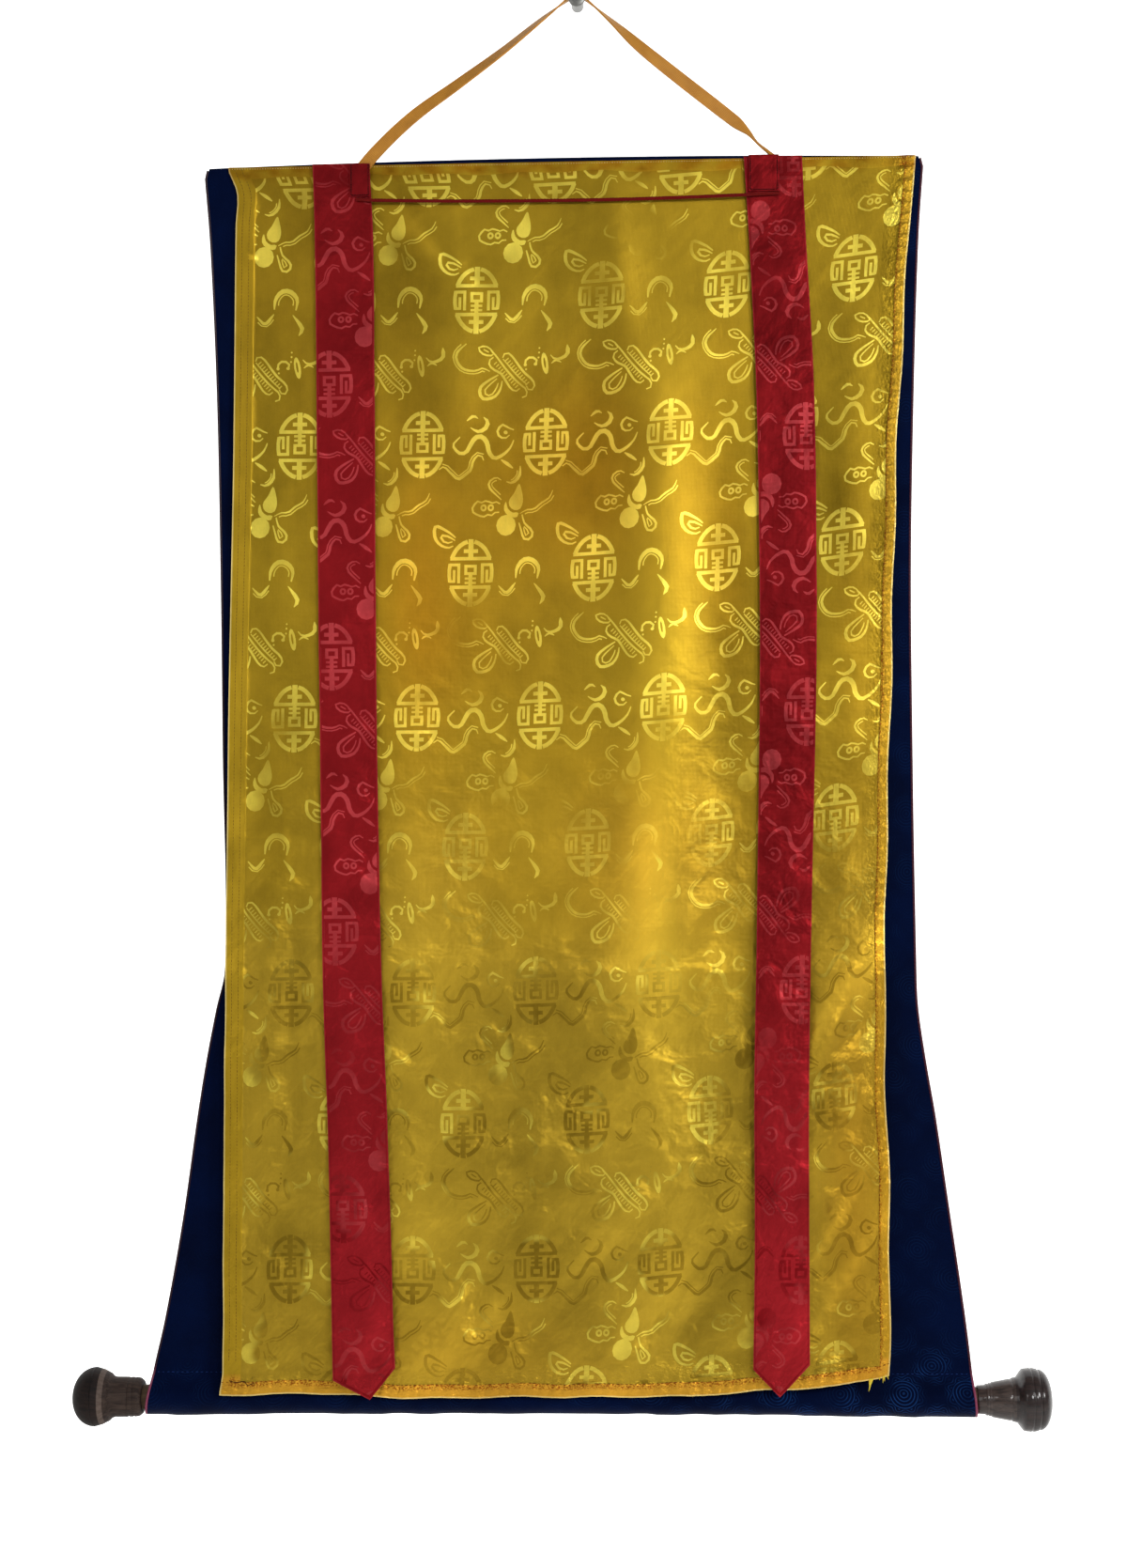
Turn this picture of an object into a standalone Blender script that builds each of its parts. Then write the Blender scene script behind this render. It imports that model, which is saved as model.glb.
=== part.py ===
"""A small brocade-mounted thangka, hung from a wall nail with its silk cover lowered.

The origin is the middle of the nail's flat end, where it meets the wall. The wall is the plane y = 0 and
everything hangs in front of it, at negative y. Heights are given as a distance below the nail, and depths
as a distance in front of the wall, both positive. The tables are in millimetres.
"""
import math
from bisect import bisect_right
from collections import namedtuple

import bmesh
import bpy
from mathutils import Vector

MM = 0.001
GAP = 0.3

# Wall nail: a plain steel peg with a low domed head.
NAIL_RADIUS = 4.0
NAIL_REACH = 16.0
NAIL_HEAD_RADIUS = 5.4
NAIL_HEAD_RIM = 0.9
NAIL_HEAD_RISE = 1.1
NAIL_SIDES = 24

# Thickness of each cloth, and of the cords.
MOUNT_THICK = 1.4
COVER_THICK = 1.0
RIBBON_THICK = 1.0
TAPE_THICK = 1.2
TAPE_WIDTH = 8.5
CORD_THICK = 2.5
PIPING_THICK = 1.6
PIPING_GAP = 0.4
PIPING_SIDES = 6

# Rod, and the sleeve that the foot of the mount forms round it.
ROD_RADIUS = 8.0
ROD_BELOW = 924.3
ROD_DEPTH = 21.5
ROD_SIDES = 24
SLEEVE_EASE = 0.35
SLEEVE_SLACK = 1.5
SLEEVE_STITCH = 17.0
SLEEVE_FLAP = 5.0
SLEEVE_STEPS = 12

# Mount: a navy panel that is narrow at the waist and flares to the rod.
MOUNT_TOP = 106.5
MOUNT_TOP_CROWN = 3.2
MOUNT_TOP_DEPTH = 8.0
MOUNT_CORNER = 4.0
MOUNT_HEM = 20.0
MOUNT_COLUMNS = 10
MOUNT_ROWS = 34
CROWN_FADE = 60.0
LAYER_PITCH = MOUNT_THICK + 0.5
HEM_STEPS = 4

# The flared wings of the mount are slightly wavy: height of the waves, and where they fade in and out.
WING_RIPPLE = 1.2
WING_START = 150.0
WING_EDGE = 250.0
WING_HEAD = 400.0
WING_FULL = 600.0
WING_FOOT_FADE = 90.0
WAVE_DOWN = 38.0
WAVE_ACROSS = 60.0

Sides = namedtuple("Sides", "below left right")
MOUNT_SIDES = (
    Sides(below=107, left=-249, right=227),
    Sides(below=160, left=-245, right=223),
    Sides(below=260, left=-241, right=219),
    Sides(below=380, left=-239, right=216),
    Sides(below=500, left=-238, right=216),
    Sides(below=640, left=-237, right=217),
    Sides(below=668, left=-243, right=218),
    Sides(below=704, left=-250, right=223),
    Sides(below=740, left=-256, right=229),
    Sides(below=806, left=-266, right=238),
    Sides(below=872, left=-278, right=247),
    Sides(below=907, left=-286, right=251),
    Sides(below=936, left=-291, right=254),
)

# Cover: a gold damask sheet sewn on just under the top edge, longer than the mount's flat part.
COVER_TOP = 108.0
COVER_TOP_DEPTH = MOUNT_TOP_DEPTH + MOUNT_THICK / 2 + GAP + COVER_THICK / 2
COVER_FOOT_DEPTH = 35.8
COVER_COLUMNS = 26
COVER_ROWS = 40

COVER_SIDES = (
    Sides(below=108, left=-234, right=223),
    Sides(below=124, left=-228, right=221),
    Sides(below=145, left=-229, right=219),
    Sides(below=231, left=-230, right=213),
    Sides(below=315, left=-231, right=208),
    Sides(below=458, left=-234, right=203),
    Sides(below=600, left=-236, right=198),
    Sides(below=696, left=-237, right=197),
    Sides(below=792, left=-238, right=198),
    Sides(below=904, left=-239, right=197),
    Sides(below=919, left=-241, right=195),
)

Foot = namedtuple("Foot", "x below")
COVER_FOOT = (
    Foot(x=-241, below=919.0),
    Foot(x=-187, below=918.0),
    Foot(x=-121, below=920.5),
    Foot(x=69, below=919.0),
    Foot(x=111, below=915.5),
    Foot(x=166, below=911.5),
    Foot(x=197, below=905.0),
)

# Each fold runs from a head to a foot. A positive height is a ridge towards the room, a negative one is a
# trough.
# It fades in and out over these shares of its run.
FOLD_HEAD_FADE = 0.3
FOLD_FOOT_FADE = 0.25
Fold = namedtuple("Fold", "head_x head_below foot_x foot_below width height")
COVER_FOLDS = (
    Fold(head_x=52, head_below=190, foot_x=64, foot_below=700, width=26, height=6.5),
    Fold(head_x=-62, head_below=240, foot_x=-52, foot_below=760, width=50, height=-2.4),
    Fold(head_x=96, head_below=260, foot_x=92, foot_below=720, width=16, height=-1.6),
    Fold(head_x=-95, head_below=128, foot_x=-80, foot_below=330, width=18, height=1.5),
    Fold(head_x=14, head_below=128, foot_x=44, foot_below=300, width=16, height=1.6),
    Fold(head_x=184, head_below=560, foot_x=112, foot_below=925, width=20, height=4.2),
    Fold(head_x=196, head_below=640, foot_x=158, foot_below=925, width=16, height=-3.0),
    Fold(head_x=205, head_below=720, foot_x=188, foot_below=930, width=15, height=4.0),
    Fold(head_x=66, head_below=690, foot_x=8, foot_below=930, width=24, height=3.6),
    Fold(head_x=-60, head_below=740, foot_x=-112, foot_below=935, width=22, height=3.0),
    Fold(head_x=-205, head_below=180, foot_x=-214, foot_below=860, width=20, height=2.2),
    Fold(head_x=-186, head_below=520, foot_x=-196, foot_below=930, width=12, height=-1.8),
    Fold(head_x=176, head_below=170, foot_x=182, foot_below=560, width=18, height=2.4),
)

# Level creases left by rolling: each is a soft kink right across the cover.
CREASE_HEIGHTS = (643, 696, 760, 783, 894)
CREASE_WIDTH = 14.0
CREASE_RISE = 0.9

# Ribbons: two red damask strips with pointed ends, in front of the cover.
RIBBON_TOP = 105.5
RIBBON_TOP_DEPTH = COVER_TOP_DEPTH + COVER_THICK / 2 + GAP + TAPE_THICK + GAP + RIBBON_THICK / 2
RIBBON_ROWS = 34
RIBBON_STEP = 8.0
RIBBON_REACH = 4
RIBBON_HEAD_FADE = 60.0
RIBBON_SAMPLES = (-0.25, 0.0, 0.25, 0.5, 0.75, 1.0, 1.25)

LEFT_RIBBON_SIDES = (
    Sides(below=105, left=-177, right=-139),
    Sides(below=162, left=-175.5, right=-136.5),
    Sides(below=435, left=-173.5, right=-135.5),
    Sides(below=541, left=-172.5, right=-134.5),
    Sides(below=648, left=-171.5, right=-132.5),
    Sides(below=744, left=-168.5, right=-129),
    Sides(below=870, left=-166, right=-125.5),
    Sides(below=921, left=-165, right=-123.5),
)
LEFT_RIBBON_FOOT = (
    Foot(x=-165, below=908.0),
    Foot(x=-141, below=920.5),
    Foot(x=-123.5, below=900.0),
)

RIGHT_RIBBON_SIDES = (
    Sides(below=104, left=109.5, right=148),
    Sides(below=157, left=112.5, right=150),
    Sides(below=262, left=116.5, right=154.5),
    Sides(below=375, left=117.5, right=155),
    Sides(below=458, left=117, right=154),
    Sides(below=621, left=113.5, right=149),
    Sides(below=720, left=111, right=146.5),
    Sides(below=817, left=110.5, right=145.8),
    Sides(below=918, left=108.5, right=145.5),
)
RIGHT_RIBBON_FOOT = (
    Foot(x=108.5, below=900.0),
    Foot(x=126, below=918.0),
    Foot(x=145.5, below=897.0),
)

# Tabs: small squares of the ribbon cloth that hold down the ends of the cord.
Tab = namedtuple("Tab", "left right top foot")
LEFT_TAB = Tab(left=-152.0, right=-138.6, top=106.2, foot=128.2)
RIGHT_TAB = Tab(left=112.8, right=132.6, top=104.8, foot=129.0)
TAB_THICK = 1.0

# Tie cord: stretched from tab to tab, with a very slight bow.
CORD_STEPS = 44
CORD_SIDES = 8
Pass = namedtuple("Pass", "x below depth")
CORD_ROUTE = (
    Pass(x=-147.6, below=129.9, depth=15.3),
    Pass(x=-136.0, below=130.8, depth=15.2),
    Pass(x=-70.0, below=132.2, depth=14.3),
    Pass(x=9.0, below=132.8, depth=14.1),
    Pass(x=60.0, below=132.4, depth=14.3),
    Pass(x=109.0, below=131.5, depth=15.2),
    Pass(x=132.5, below=130.7, depth=15.3),
)

# Hanging tape: over the nail, twisting down each side, its ends tucked between the cover and the ribbons.
TapePass = namedtuple("TapePass", "x below depth twist")
TAPE_LEFT_LEG = (
    TapePass(x=-151.0, below=124.5, depth=11.5, twist=0),
    TapePass(x=-145.5, below=111.0, depth=11.1, twist=0),
    TapePass(x=-132.0, below=95.0, depth=10.9, twist=4),
    TapePass(x=-109.0, below=74.0, depth=10.6, twist=14),
    TapePass(x=-80.0, below=53.5, depth=10.3, twist=34),
    TapePass(x=-50.0, below=32.0, depth=10.0, twist=52),
    TapePass(x=-22.0, below=10.0, depth=9.7, twist=70),
)
TAPE_RIGHT_LEG = (
    TapePass(x=22.0, below=12.5, depth=9.7, twist=62),
    TapePass(x=42.0, below=31.0, depth=10.0, twist=24),
    TapePass(x=66.0, below=51.0, depth=10.3, twist=6),
    TapePass(x=92.0, below=72.0, depth=10.6, twist=0),
    TapePass(x=119.0, below=94.0, depth=10.9, twist=0),
    TapePass(x=133.0, below=109.0, depth=11.1, twist=0),
    TapePass(x=139.0, below=124.5, depth=11.5, twist=0),
)
TAPE_NAIL_DEPTH = 9.5
TAPE_NAIL_EASE = 0.45
TAPE_NAIL_TWIST = 88
TAPE_NAIL_ANGLES = (-36, -18, 0, 18, 36)
TAPE_STEPS = 3

# Turned knobs: distance out from the end of the rod, and radius. A dome closes each one.
Turn = namedtuple("Turn", "out radius")
LEFT_KNOB = (
    Turn(out=0.0, radius=11.2),
    Turn(out=1.0, radius=12.5),
    Turn(out=3.6, radius=12.8),
    Turn(out=4.2, radius=12.2),
    Turn(out=4.8, radius=12.8),
    Turn(out=7.0, radius=12.8),
    Turn(out=7.6, radius=12.2),
    Turn(out=8.2, radius=12.9),
    Turn(out=17.0, radius=13.0),
    Turn(out=19.2, radius=13.9),
    Turn(out=20.4, radius=15.4),
    Turn(out=24.2, radius=16.6),
    Turn(out=24.8, radius=18.0),
    Turn(out=30.2, radius=19.2),
)
LEFT_KNOB_LENGTH = 45.4
LEFT_KNOB_FACE = -296.0
RIGHT_KNOB = (
    Turn(out=0.0, radius=9.3),
    Turn(out=3.4, radius=9.4),
    Turn(out=4.2, radius=10.5),
    Turn(out=5.2, radius=9.9),
    Turn(out=6.2, radius=10.8),
    Turn(out=7.0, radius=10.4),
    Turn(out=7.8, radius=11.2),
    Turn(out=19.4, radius=13.4),
    Turn(out=20.0, radius=12.9),
    Turn(out=20.7, radius=13.9),
    Turn(out=23.8, radius=14.5),
    Turn(out=25.6, radius=17.0),
    Turn(out=27.8, radius=19.8),
    Turn(out=32.6, radius=20.4),
    Turn(out=33.2, radius=19.8),
    Turn(out=33.8, radius=20.4),
    Turn(out=37.2, radius=19.8),
    Turn(out=37.8, radius=19.1),
    Turn(out=38.4, radius=19.3),
)
RIGHT_KNOB_LENGTH = 46.8
RIGHT_KNOB_FACE = 257.4
DOME_STEPS = 7
DOME_FULLNESS = 0.9
KNOB_SIDES = 24

# Colour, roughness and metallic value of each material.
Finish = namedtuple("Finish", "name colour roughness metallic")
NAVY_BROCADE = Finish("navy_brocade", (0.001, 0.006, 0.045, 1.0), 0.6, 0.0)
GOLD_DAMASK = Finish("gold_damask", (0.42, 0.27, 0.014, 1.0), 0.42, 0.0)
RED_DAMASK = Finish("red_damask", (0.27, 0.006, 0.014, 1.0), 0.42, 0.0)
RED_PIPING = Finish("red_piping", (0.2, 0.008, 0.03, 1.0), 0.5, 0.0)
DARK_RED_CORD = Finish("dark_red_cord", (0.1, 0.005, 0.006, 1.0), 0.6, 0.0)
GOLD_TAPE = Finish("gold_tape", (0.58, 0.25, 0.012, 1.0), 0.5, 0.0)
DARK_WOOD = Finish("dark_varnished_wood", (0.045, 0.03, 0.025, 1.0), 0.3, 0.0)
PALE_WOOD = Finish("pale_wood", (0.28, 0.17, 0.09, 1.0), 0.6, 0.0)
GREY_STEEL = Finish("grey_steel", (0.35, 0.35, 0.34, 1.0), 0.4, 1.0)


def clear_scene():
    """Remove whatever the open file holds."""
    for old in list(bpy.data.objects):
        bpy.data.objects.remove(old, do_unlink=True)


def make_material(finish):
    """A Principled material with the piece's colour, roughness and metallic value."""
    material = bpy.data.materials.new(finish.name)
    material.use_nodes = True
    shader = material.node_tree.nodes["Principled BSDF"]
    shader.inputs["Base Color"].default_value = finish.colour
    shader.inputs["Roughness"].default_value = finish.roughness
    shader.inputs["Metallic"].default_value = finish.metallic
    material.diffuse_color = finish.colour
    return material


def in_place(x, depth, below):
    """The point at x, so far in front of the wall and so far below the nail, in metres."""
    return Vector((x, -depth, -below)) * MM


def ease(share):
    """A soft step from 0 to 1."""
    share = min(max(share, 0.0), 1.0)
    return share * share * (3.0 - 2.0 * share)


def mix(start, end, share):
    """The value a share of the way from start to end."""
    return start + (end - start) * share


def smooth_value(keys, values, at):
    """A smooth curve through the values, read at one place along their keys."""
    last = len(keys) - 1
    if at <= keys[0]:
        return values[0]
    if at >= keys[last]:
        return values[last]
    here = bisect_right(keys, at) - 1

    def slope(i):
        before = max(i - 1, 0)
        after = min(i + 1, last)
        return (values[after] - values[before]) / (keys[after] - keys[before])

    span = keys[here + 1] - keys[here]
    t = (at - keys[here]) / span
    rise = values[here + 1] - values[here]
    lead = slope(here) * span - rise
    trail = rise - slope(here + 1) * span
    return values[here] + t * rise + t * (1.0 - t) * (lead * (1.0 - t) + trail * t)


def read_smooth(rows, key, column, at):
    """A column of a table, read at any place along its key column."""
    return smooth_value([getattr(row, key) for row in rows], [getattr(row, column) for row in rows], at)


def route_reach(points):
    """How far along a route each of its points lies."""
    reach = [0.0]
    for start, end in zip(points, points[1:]):
        reach.append(reach[-1] + math.dist(start[:3], end[:3]))
    return reach


def smooth_route(points, places):
    """The route's smooth curve, read at each of these distances along it."""
    reach = route_reach(points)
    columns = list(zip(*points))
    return [tuple(smooth_value(reach, column, place) for column in columns) for place in places]


def add_object(name, data, material, parent, collection):
    """Link a new object with its material, under the scroll's own empty."""
    piece = bpy.data.objects.new(name, data)
    piece.data.materials.append(make_material(material))
    piece.parent = parent
    collection.objects.link(piece)
    return piece


def add_sheet(name, columns, rows, place, thickness, material, parent, collection):
    """A cloth: a grid whose points are placed by a function of column and row, given its thickness."""
    mesh = bpy.data.meshes.new(name)
    shape = bmesh.new()
    bmesh.ops.create_grid(shape, x_segments=columns, y_segments=rows, size=0.5)
    for vertex in shape.verts:
        column = round((vertex.co.x + 0.5) * columns)
        row = round((0.5 - vertex.co.y) * rows)
        vertex.co = place(column, row)
    shape.to_mesh(mesh)
    shape.free()
    mesh.shade_smooth()
    piece = add_object(name, mesh, material, parent, collection)
    solidify = piece.modifiers.new("Thickness", "SOLIDIFY")
    solidify.thickness = thickness * MM
    solidify.offset = 0.0
    solidify.use_even_offset = True
    return piece


def add_turned(name, profile, sides, material, parent, collection):
    """A turned piece: its profile runs from the top of the axis to the foot, and is spun about Z."""
    mesh = bpy.data.meshes.new(name)
    shape = bmesh.new()
    corners = [shape.verts.new((radius * MM, 0.0, height * MM)) for height, radius in profile]
    for upper, lower in zip(corners, corners[1:]):
        shape.edges.new((upper, lower))
    shape.to_mesh(mesh)
    shape.free()
    piece = add_object(name, mesh, material, parent, collection)
    screw = piece.modifiers.new("Turning", "SCREW")
    screw.axis = "Z"
    screw.steps = sides
    screw.render_steps = sides
    screw.use_merge_vertices = True
    screw.merge_threshold = 0.00001
    screw.use_smooth_shade = True
    return piece


def add_cord(name, points, thickness, sides, material, parent, collection):
    """A round cord through a list of points, with closed ends."""
    curve = bpy.data.curves.new(name, "CURVE")
    curve.dimensions = "3D"
    spline = curve.splines.new("POLY")
    spline.points.add(len(points) - 1)
    for target, point in zip(spline.points, points):
        target.co = (*point, 1.0)
    curve.bevel_depth = thickness / 2 * MM
    curve.bevel_resolution = (sides - 4) // 2
    curve.use_fill_caps = True
    return add_object(name, curve, material, parent, collection)


def mount_depth(below):
    """The mount hangs in a plane from its top hem to the stitch line over the rod."""
    foot = ROD_BELOW - SLEEVE_STITCH
    share = (below - MOUNT_TOP) / (foot - MOUNT_TOP)
    return mix(MOUNT_TOP_DEPTH, ROD_DEPTH + LAYER_PITCH / 2, share)


def mount_ripple(x, below):
    """The flared wings of the mount stand a little proud and wavy at their edges."""
    wing = ease((abs(x) - WING_START) / (WING_EDGE - WING_START))
    head = ease((below - WING_HEAD) / (WING_FULL - WING_HEAD))
    foot = ease((ROD_BELOW - SLEEVE_STITCH - below) / WING_FOOT_FADE)
    return WING_RIPPLE * wing * head * foot * math.sin(below / WAVE_DOWN + x / WAVE_ACROSS)


def sleeve_section(step, slack):
    """Depth in front of and height above the rod's axis, round the sleeve from front stitch to back flap."""
    radius = ROD_RADIUS + SLEEVE_EASE + MOUNT_THICK / 2 + slack
    half = LAYER_PITCH / 2
    reach = math.hypot(half, SLEEVE_STITCH)
    tangent = math.acos(radius / reach) + math.atan2(half, SLEEVE_STITCH)
    if step > SLEEVE_STEPS:
        return -half, SLEEVE_STITCH + SLEEVE_FLAP * (step - SLEEVE_STEPS - 1)
    angle = mix(tangent, 2.0 * math.pi - tangent, step / SLEEVE_STEPS)
    return radius * math.sin(angle), radius * math.cos(angle)


def mount_rows():
    """Rows of the mount from the back of the top hem, over the top, down the front and round the rod."""
    foot = ROD_BELOW - SLEEVE_STITCH
    turn = LAYER_PITCH / 2
    rows = [("hem", MOUNT_TOP + MOUNT_HEM), ("hem", MOUNT_TOP + turn)]
    rows += [("turn", 180.0 * step / HEM_STEPS) for step in range(1, HEM_STEPS)]
    start = MOUNT_TOP + turn
    rows += [("front", mix(start, foot, row / MOUNT_ROWS)) for row in range(MOUNT_ROWS + 1)]
    rows += [("sleeve", step) for step in range(SLEEVE_STEPS + 3)]
    return rows


def mount_point(row, share):
    """A point of the mount's middle surface: a row of mount_rows, and a share of the width."""
    kind, value = row
    turn = LAYER_PITCH / 2
    if kind == "hem":
        below = value
        depth = mount_depth(below) - LAYER_PITCH
    elif kind == "turn":
        angle = math.radians(value)
        below = MOUNT_TOP + turn * (1.0 - math.sin(angle))
        depth = mount_depth(MOUNT_TOP + turn) - turn * (1.0 + math.cos(angle))
    elif kind == "front":
        below = value
        depth = mount_depth(below)
    else:
        slack = SLEEVE_SLACK * (2.0 * share - 1.0) ** 2
        forward, up = sleeve_section(value, slack)
        below = ROD_BELOW - up
        depth = ROD_DEPTH + forward
    left = read_smooth(MOUNT_SIDES, "below", "left", below)
    right = read_smooth(MOUNT_SIDES, "below", "right", below)
    rounding = MOUNT_CORNER * (1.0 - ease((below - MOUNT_TOP) / MOUNT_CORNER)) / 2
    x = mix(left + rounding, right - rounding, share)
    if kind == "front":
        depth += mount_ripple(x, below)
    fade = 1.0 - ease((below - MOUNT_TOP) / CROWN_FADE)
    crown = MOUNT_TOP_CROWN * (1.0 - (2.0 * share - 1.0) ** 2) * fade
    return x, depth, below - crown


def add_mount(parent, collection):
    """The navy mount, one cloth from its top hem to the sleeve that holds the rod."""
    rows = mount_rows()

    def place(column, row):
        return in_place(*mount_point(rows[row], column / MOUNT_COLUMNS))

    return add_sheet("mount_cloth", MOUNT_COLUMNS, len(rows) - 1, place, MOUNT_THICK,
                     NAVY_BROCADE, parent, collection)


def add_piping(name, side, parent, collection):
    """Red piping along one side of the mount and round the end of its sleeve."""
    share = 0.0 if side < 0 else 1.0
    beside = side * (PIPING_THICK / 2 + PIPING_GAP)
    path = []
    for kind, value in mount_rows():
        if kind == "front" or (kind == "sleeve" and value < SLEEVE_STEPS):
            x, depth, below = mount_point((kind, value), share)
            path.append(in_place(x + beside, depth, below))
    return add_cord(name, path, PIPING_THICK, PIPING_SIDES, RED_PIPING, parent, collection)


def fold_height(x, below):
    """How far the folds and creases stand out of the cover's plane."""
    height = 0.0
    for fold in COVER_FOLDS:
        run = (below - fold.head_below) / (fold.foot_below - fold.head_below)
        across = (x - mix(fold.head_x, fold.foot_x, run)) / fold.width
        ends = ease(run / FOLD_HEAD_FADE) * ease((1.0 - run) / FOLD_FOOT_FADE)
        height += fold.height * math.exp(-across * across) * ends
    for crease in CREASE_HEIGHTS:
        height += CREASE_RISE * math.exp(-((below - crease) / CREASE_WIDTH) ** 2)
    return height


def cover_depth(below):
    """The cover's plane, from the seam at the top to just in front of the sleeve."""
    return mix(COVER_TOP_DEPTH, COVER_FOOT_DEPTH, (below - COVER_TOP) / (COVER_FOOT[0].below - COVER_TOP))


def hanging_point(sides, foot, top, share, drop):
    """Place on a hanging cloth at a share of its width and of its height: x, and distance below the nail."""
    left = read_smooth(sides, "below", "left", foot[0].below)
    right = read_smooth(sides, "below", "right", foot[-1].below)
    end = read_straight(foot, mix(left, right, share))
    below = mix(top, end, drop)
    left = read_smooth(sides, "below", "left", below)
    right = read_smooth(sides, "below", "right", below)
    return mix(left, right, share), below


def read_straight(foot, x):
    """The lower edge of a cloth at x, straight between its corners."""
    for start, end in zip(foot, foot[1:]):
        if x <= end.x:
            return mix(start.below, end.below, max(x - start.x, 0.0) / (end.x - start.x))
    return foot[-1].below


def add_cover(parent, collection):
    """The gold cover, hung in front of the mount with its ridges, troughs and rolling creases."""

    def place(column, row):
        drop = row / COVER_ROWS
        x, below = hanging_point(COVER_SIDES, COVER_FOOT, COVER_TOP, column / COVER_COLUMNS, drop)
        return in_place(x, cover_depth(below) + fold_height(x, below), below)

    return add_sheet("cover", COVER_COLUMNS, COVER_ROWS, place, COVER_THICK, GOLD_DAMASK, parent, collection)


def ribbon_rise(sides, below):
    """How far the cover's ridges push a ribbon out: the highest ridge near this height, evened out."""

    def crest(at):
        left = read_smooth(sides, "below", "left", at)
        right = read_smooth(sides, "below", "right", at)
        return max(fold_height(mix(left, right, share), at) for share in RIBBON_SAMPLES)

    crests = [crest(below + RIBBON_STEP * step) for step in range(-2 * RIBBON_REACH, 2 * RIBBON_REACH + 1)]
    window = 2 * RIBBON_REACH + 1
    tops = [max(crests[start:start + window]) for start in range(window)]
    return max(sum(tops) / window, 0.0) * ease((below - RIBBON_TOP) / RIBBON_HEAD_FADE)


def ribbon_depth(sides, below):
    """A ribbon lies in front of the cover's plane, pushed out by the ridges under it."""
    lean = cover_depth(below) - COVER_TOP_DEPTH
    return RIBBON_TOP_DEPTH + lean + ribbon_rise(sides, below)


def add_ribbon(name, sides, foot, parent, collection):
    """A red ribbon, cut to a point at its foot."""
    tip = (foot[1].x - foot[0].x) / (foot[-1].x - foot[0].x)
    shares = (0.0, tip / 2, tip, (1.0 + tip) / 2, 1.0)

    def place(column, row):
        x, below = hanging_point(sides, foot, RIBBON_TOP, shares[column], row / RIBBON_ROWS)
        return in_place(x, ribbon_depth(sides, below), below)

    return add_sheet(name, len(shares) - 1, RIBBON_ROWS, place, RIBBON_THICK, RED_DAMASK, parent, collection)


def add_tab(name, tab, sides, parent, collection):
    """A square of ribbon cloth, sewn flat on the head of a ribbon."""

    def place(column, row):
        below = mix(tab.top, tab.foot, row / 2)
        depth = ribbon_depth(sides, below) + RIBBON_THICK / 2 + GAP + TAB_THICK / 2
        return in_place(mix(tab.left, tab.right, column / 2), depth, below)

    return add_sheet(name, 2, 2, place, TAB_THICK, RED_DAMASK, parent, collection)


def add_tie_cord(parent, collection):
    """The thin red cord stretched across the head of the cover."""
    length = route_reach(CORD_ROUTE)[-1]
    places = [length * step / CORD_STEPS for step in range(CORD_STEPS + 1)]
    points = [in_place(x, depth, below) for x, below, depth in smooth_route(CORD_ROUTE, places)]
    return add_cord("tie_cord", points, CORD_THICK, CORD_SIDES, DARK_RED_CORD, parent, collection)


def tape_route():
    """Stations along the middle of the tape, each with its twist in degrees."""
    ride = NAIL_RADIUS + TAPE_NAIL_EASE + TAPE_THICK / 2
    over_nail = [TapePass(x=ride * math.sin(math.radians(angle)),
                          below=-ride * math.cos(math.radians(angle)),
                          depth=TAPE_NAIL_DEPTH,
                          twist=TAPE_NAIL_TWIST)
                 for angle in TAPE_NAIL_ANGLES]
    points = list(TAPE_LEFT_LEG) + over_nail + list(TAPE_RIGHT_LEG)
    reach = route_reach(points)
    places = [mix(start, end, step / TAPE_STEPS)
              for start, end in zip(reach, reach[1:]) for step in range(TAPE_STEPS)]
    return smooth_route(points, places + reach[-1:])


def add_tape(parent, collection):
    """The flat hanging tape, lying across the nail and turning to face the room on its way down."""
    route = tape_route()
    last = len(route) - 1

    def place(column, row):
        x, below, depth, twist = route[row]
        ahead = route[min(row + 1, last)]
        behind = route[max(row - 1, 0)]
        along = Vector((ahead[0] - behind[0], 0.0, behind[1] - ahead[1])).normalized()
        across = Vector((-along.z, 0.0, along.x))
        turn = math.radians(twist)
        half = (column - 1) * TAPE_WIDTH / 2 * MM
        across = across * math.cos(turn) + Vector((0.0, 1.0, 0.0)) * math.sin(turn)
        return in_place(x, depth, below) + across * half

    return add_sheet("hanging_tape", 2, last, place, TAPE_THICK, GOLD_TAPE, parent, collection)


def knob_profile(turns, length):
    """A knob's outline from the middle of its dome down to the face that meets the rod."""
    rim = turns[-1]
    profile = []
    for step in range(DOME_STEPS):
        angle = step / DOME_STEPS * math.pi / 2
        radius = rim.radius * math.sin(angle) ** DOME_FULLNESS
        profile.append((mix(rim.out, length, math.cos(angle)), radius))
    profile += [(turn.out, turn.radius) for turn in reversed(turns)]
    profile.append((0.0, 0.0))
    return profile


def add_knob(name, turns, length, face, side, parent, collection):
    """A turned knob on one end of the rod."""
    knob = add_turned(name, knob_profile(turns, length), KNOB_SIDES, DARK_WOOD, parent, collection)
    knob.rotation_euler = (0.0, side * math.pi / 2, 0.0)
    knob.location = in_place(face, ROD_DEPTH, ROD_BELOW)
    return knob


def add_rod(parent, collection):
    """The straight wooden rod inside the sleeve, from knob to knob."""
    start = LEFT_KNOB_FACE + GAP
    end = RIGHT_KNOB_FACE - GAP
    bpy.ops.mesh.primitive_cylinder_add(
        vertices=ROD_SIDES, radius=ROD_RADIUS * MM, depth=(end - start) * MM,
        location=in_place((start + end) / 2, ROD_DEPTH, ROD_BELOW), rotation=(0.0, math.pi / 2, 0.0))
    rod = bpy.context.object
    rod.name = "rod"
    rod.data.name = "rod"
    rod.data.materials.append(make_material(PALE_WOOD))
    rod.parent = parent
    for old in list(rod.users_collection):
        old.objects.unlink(rod)
    collection.objects.link(rod)
    return rod


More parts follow.
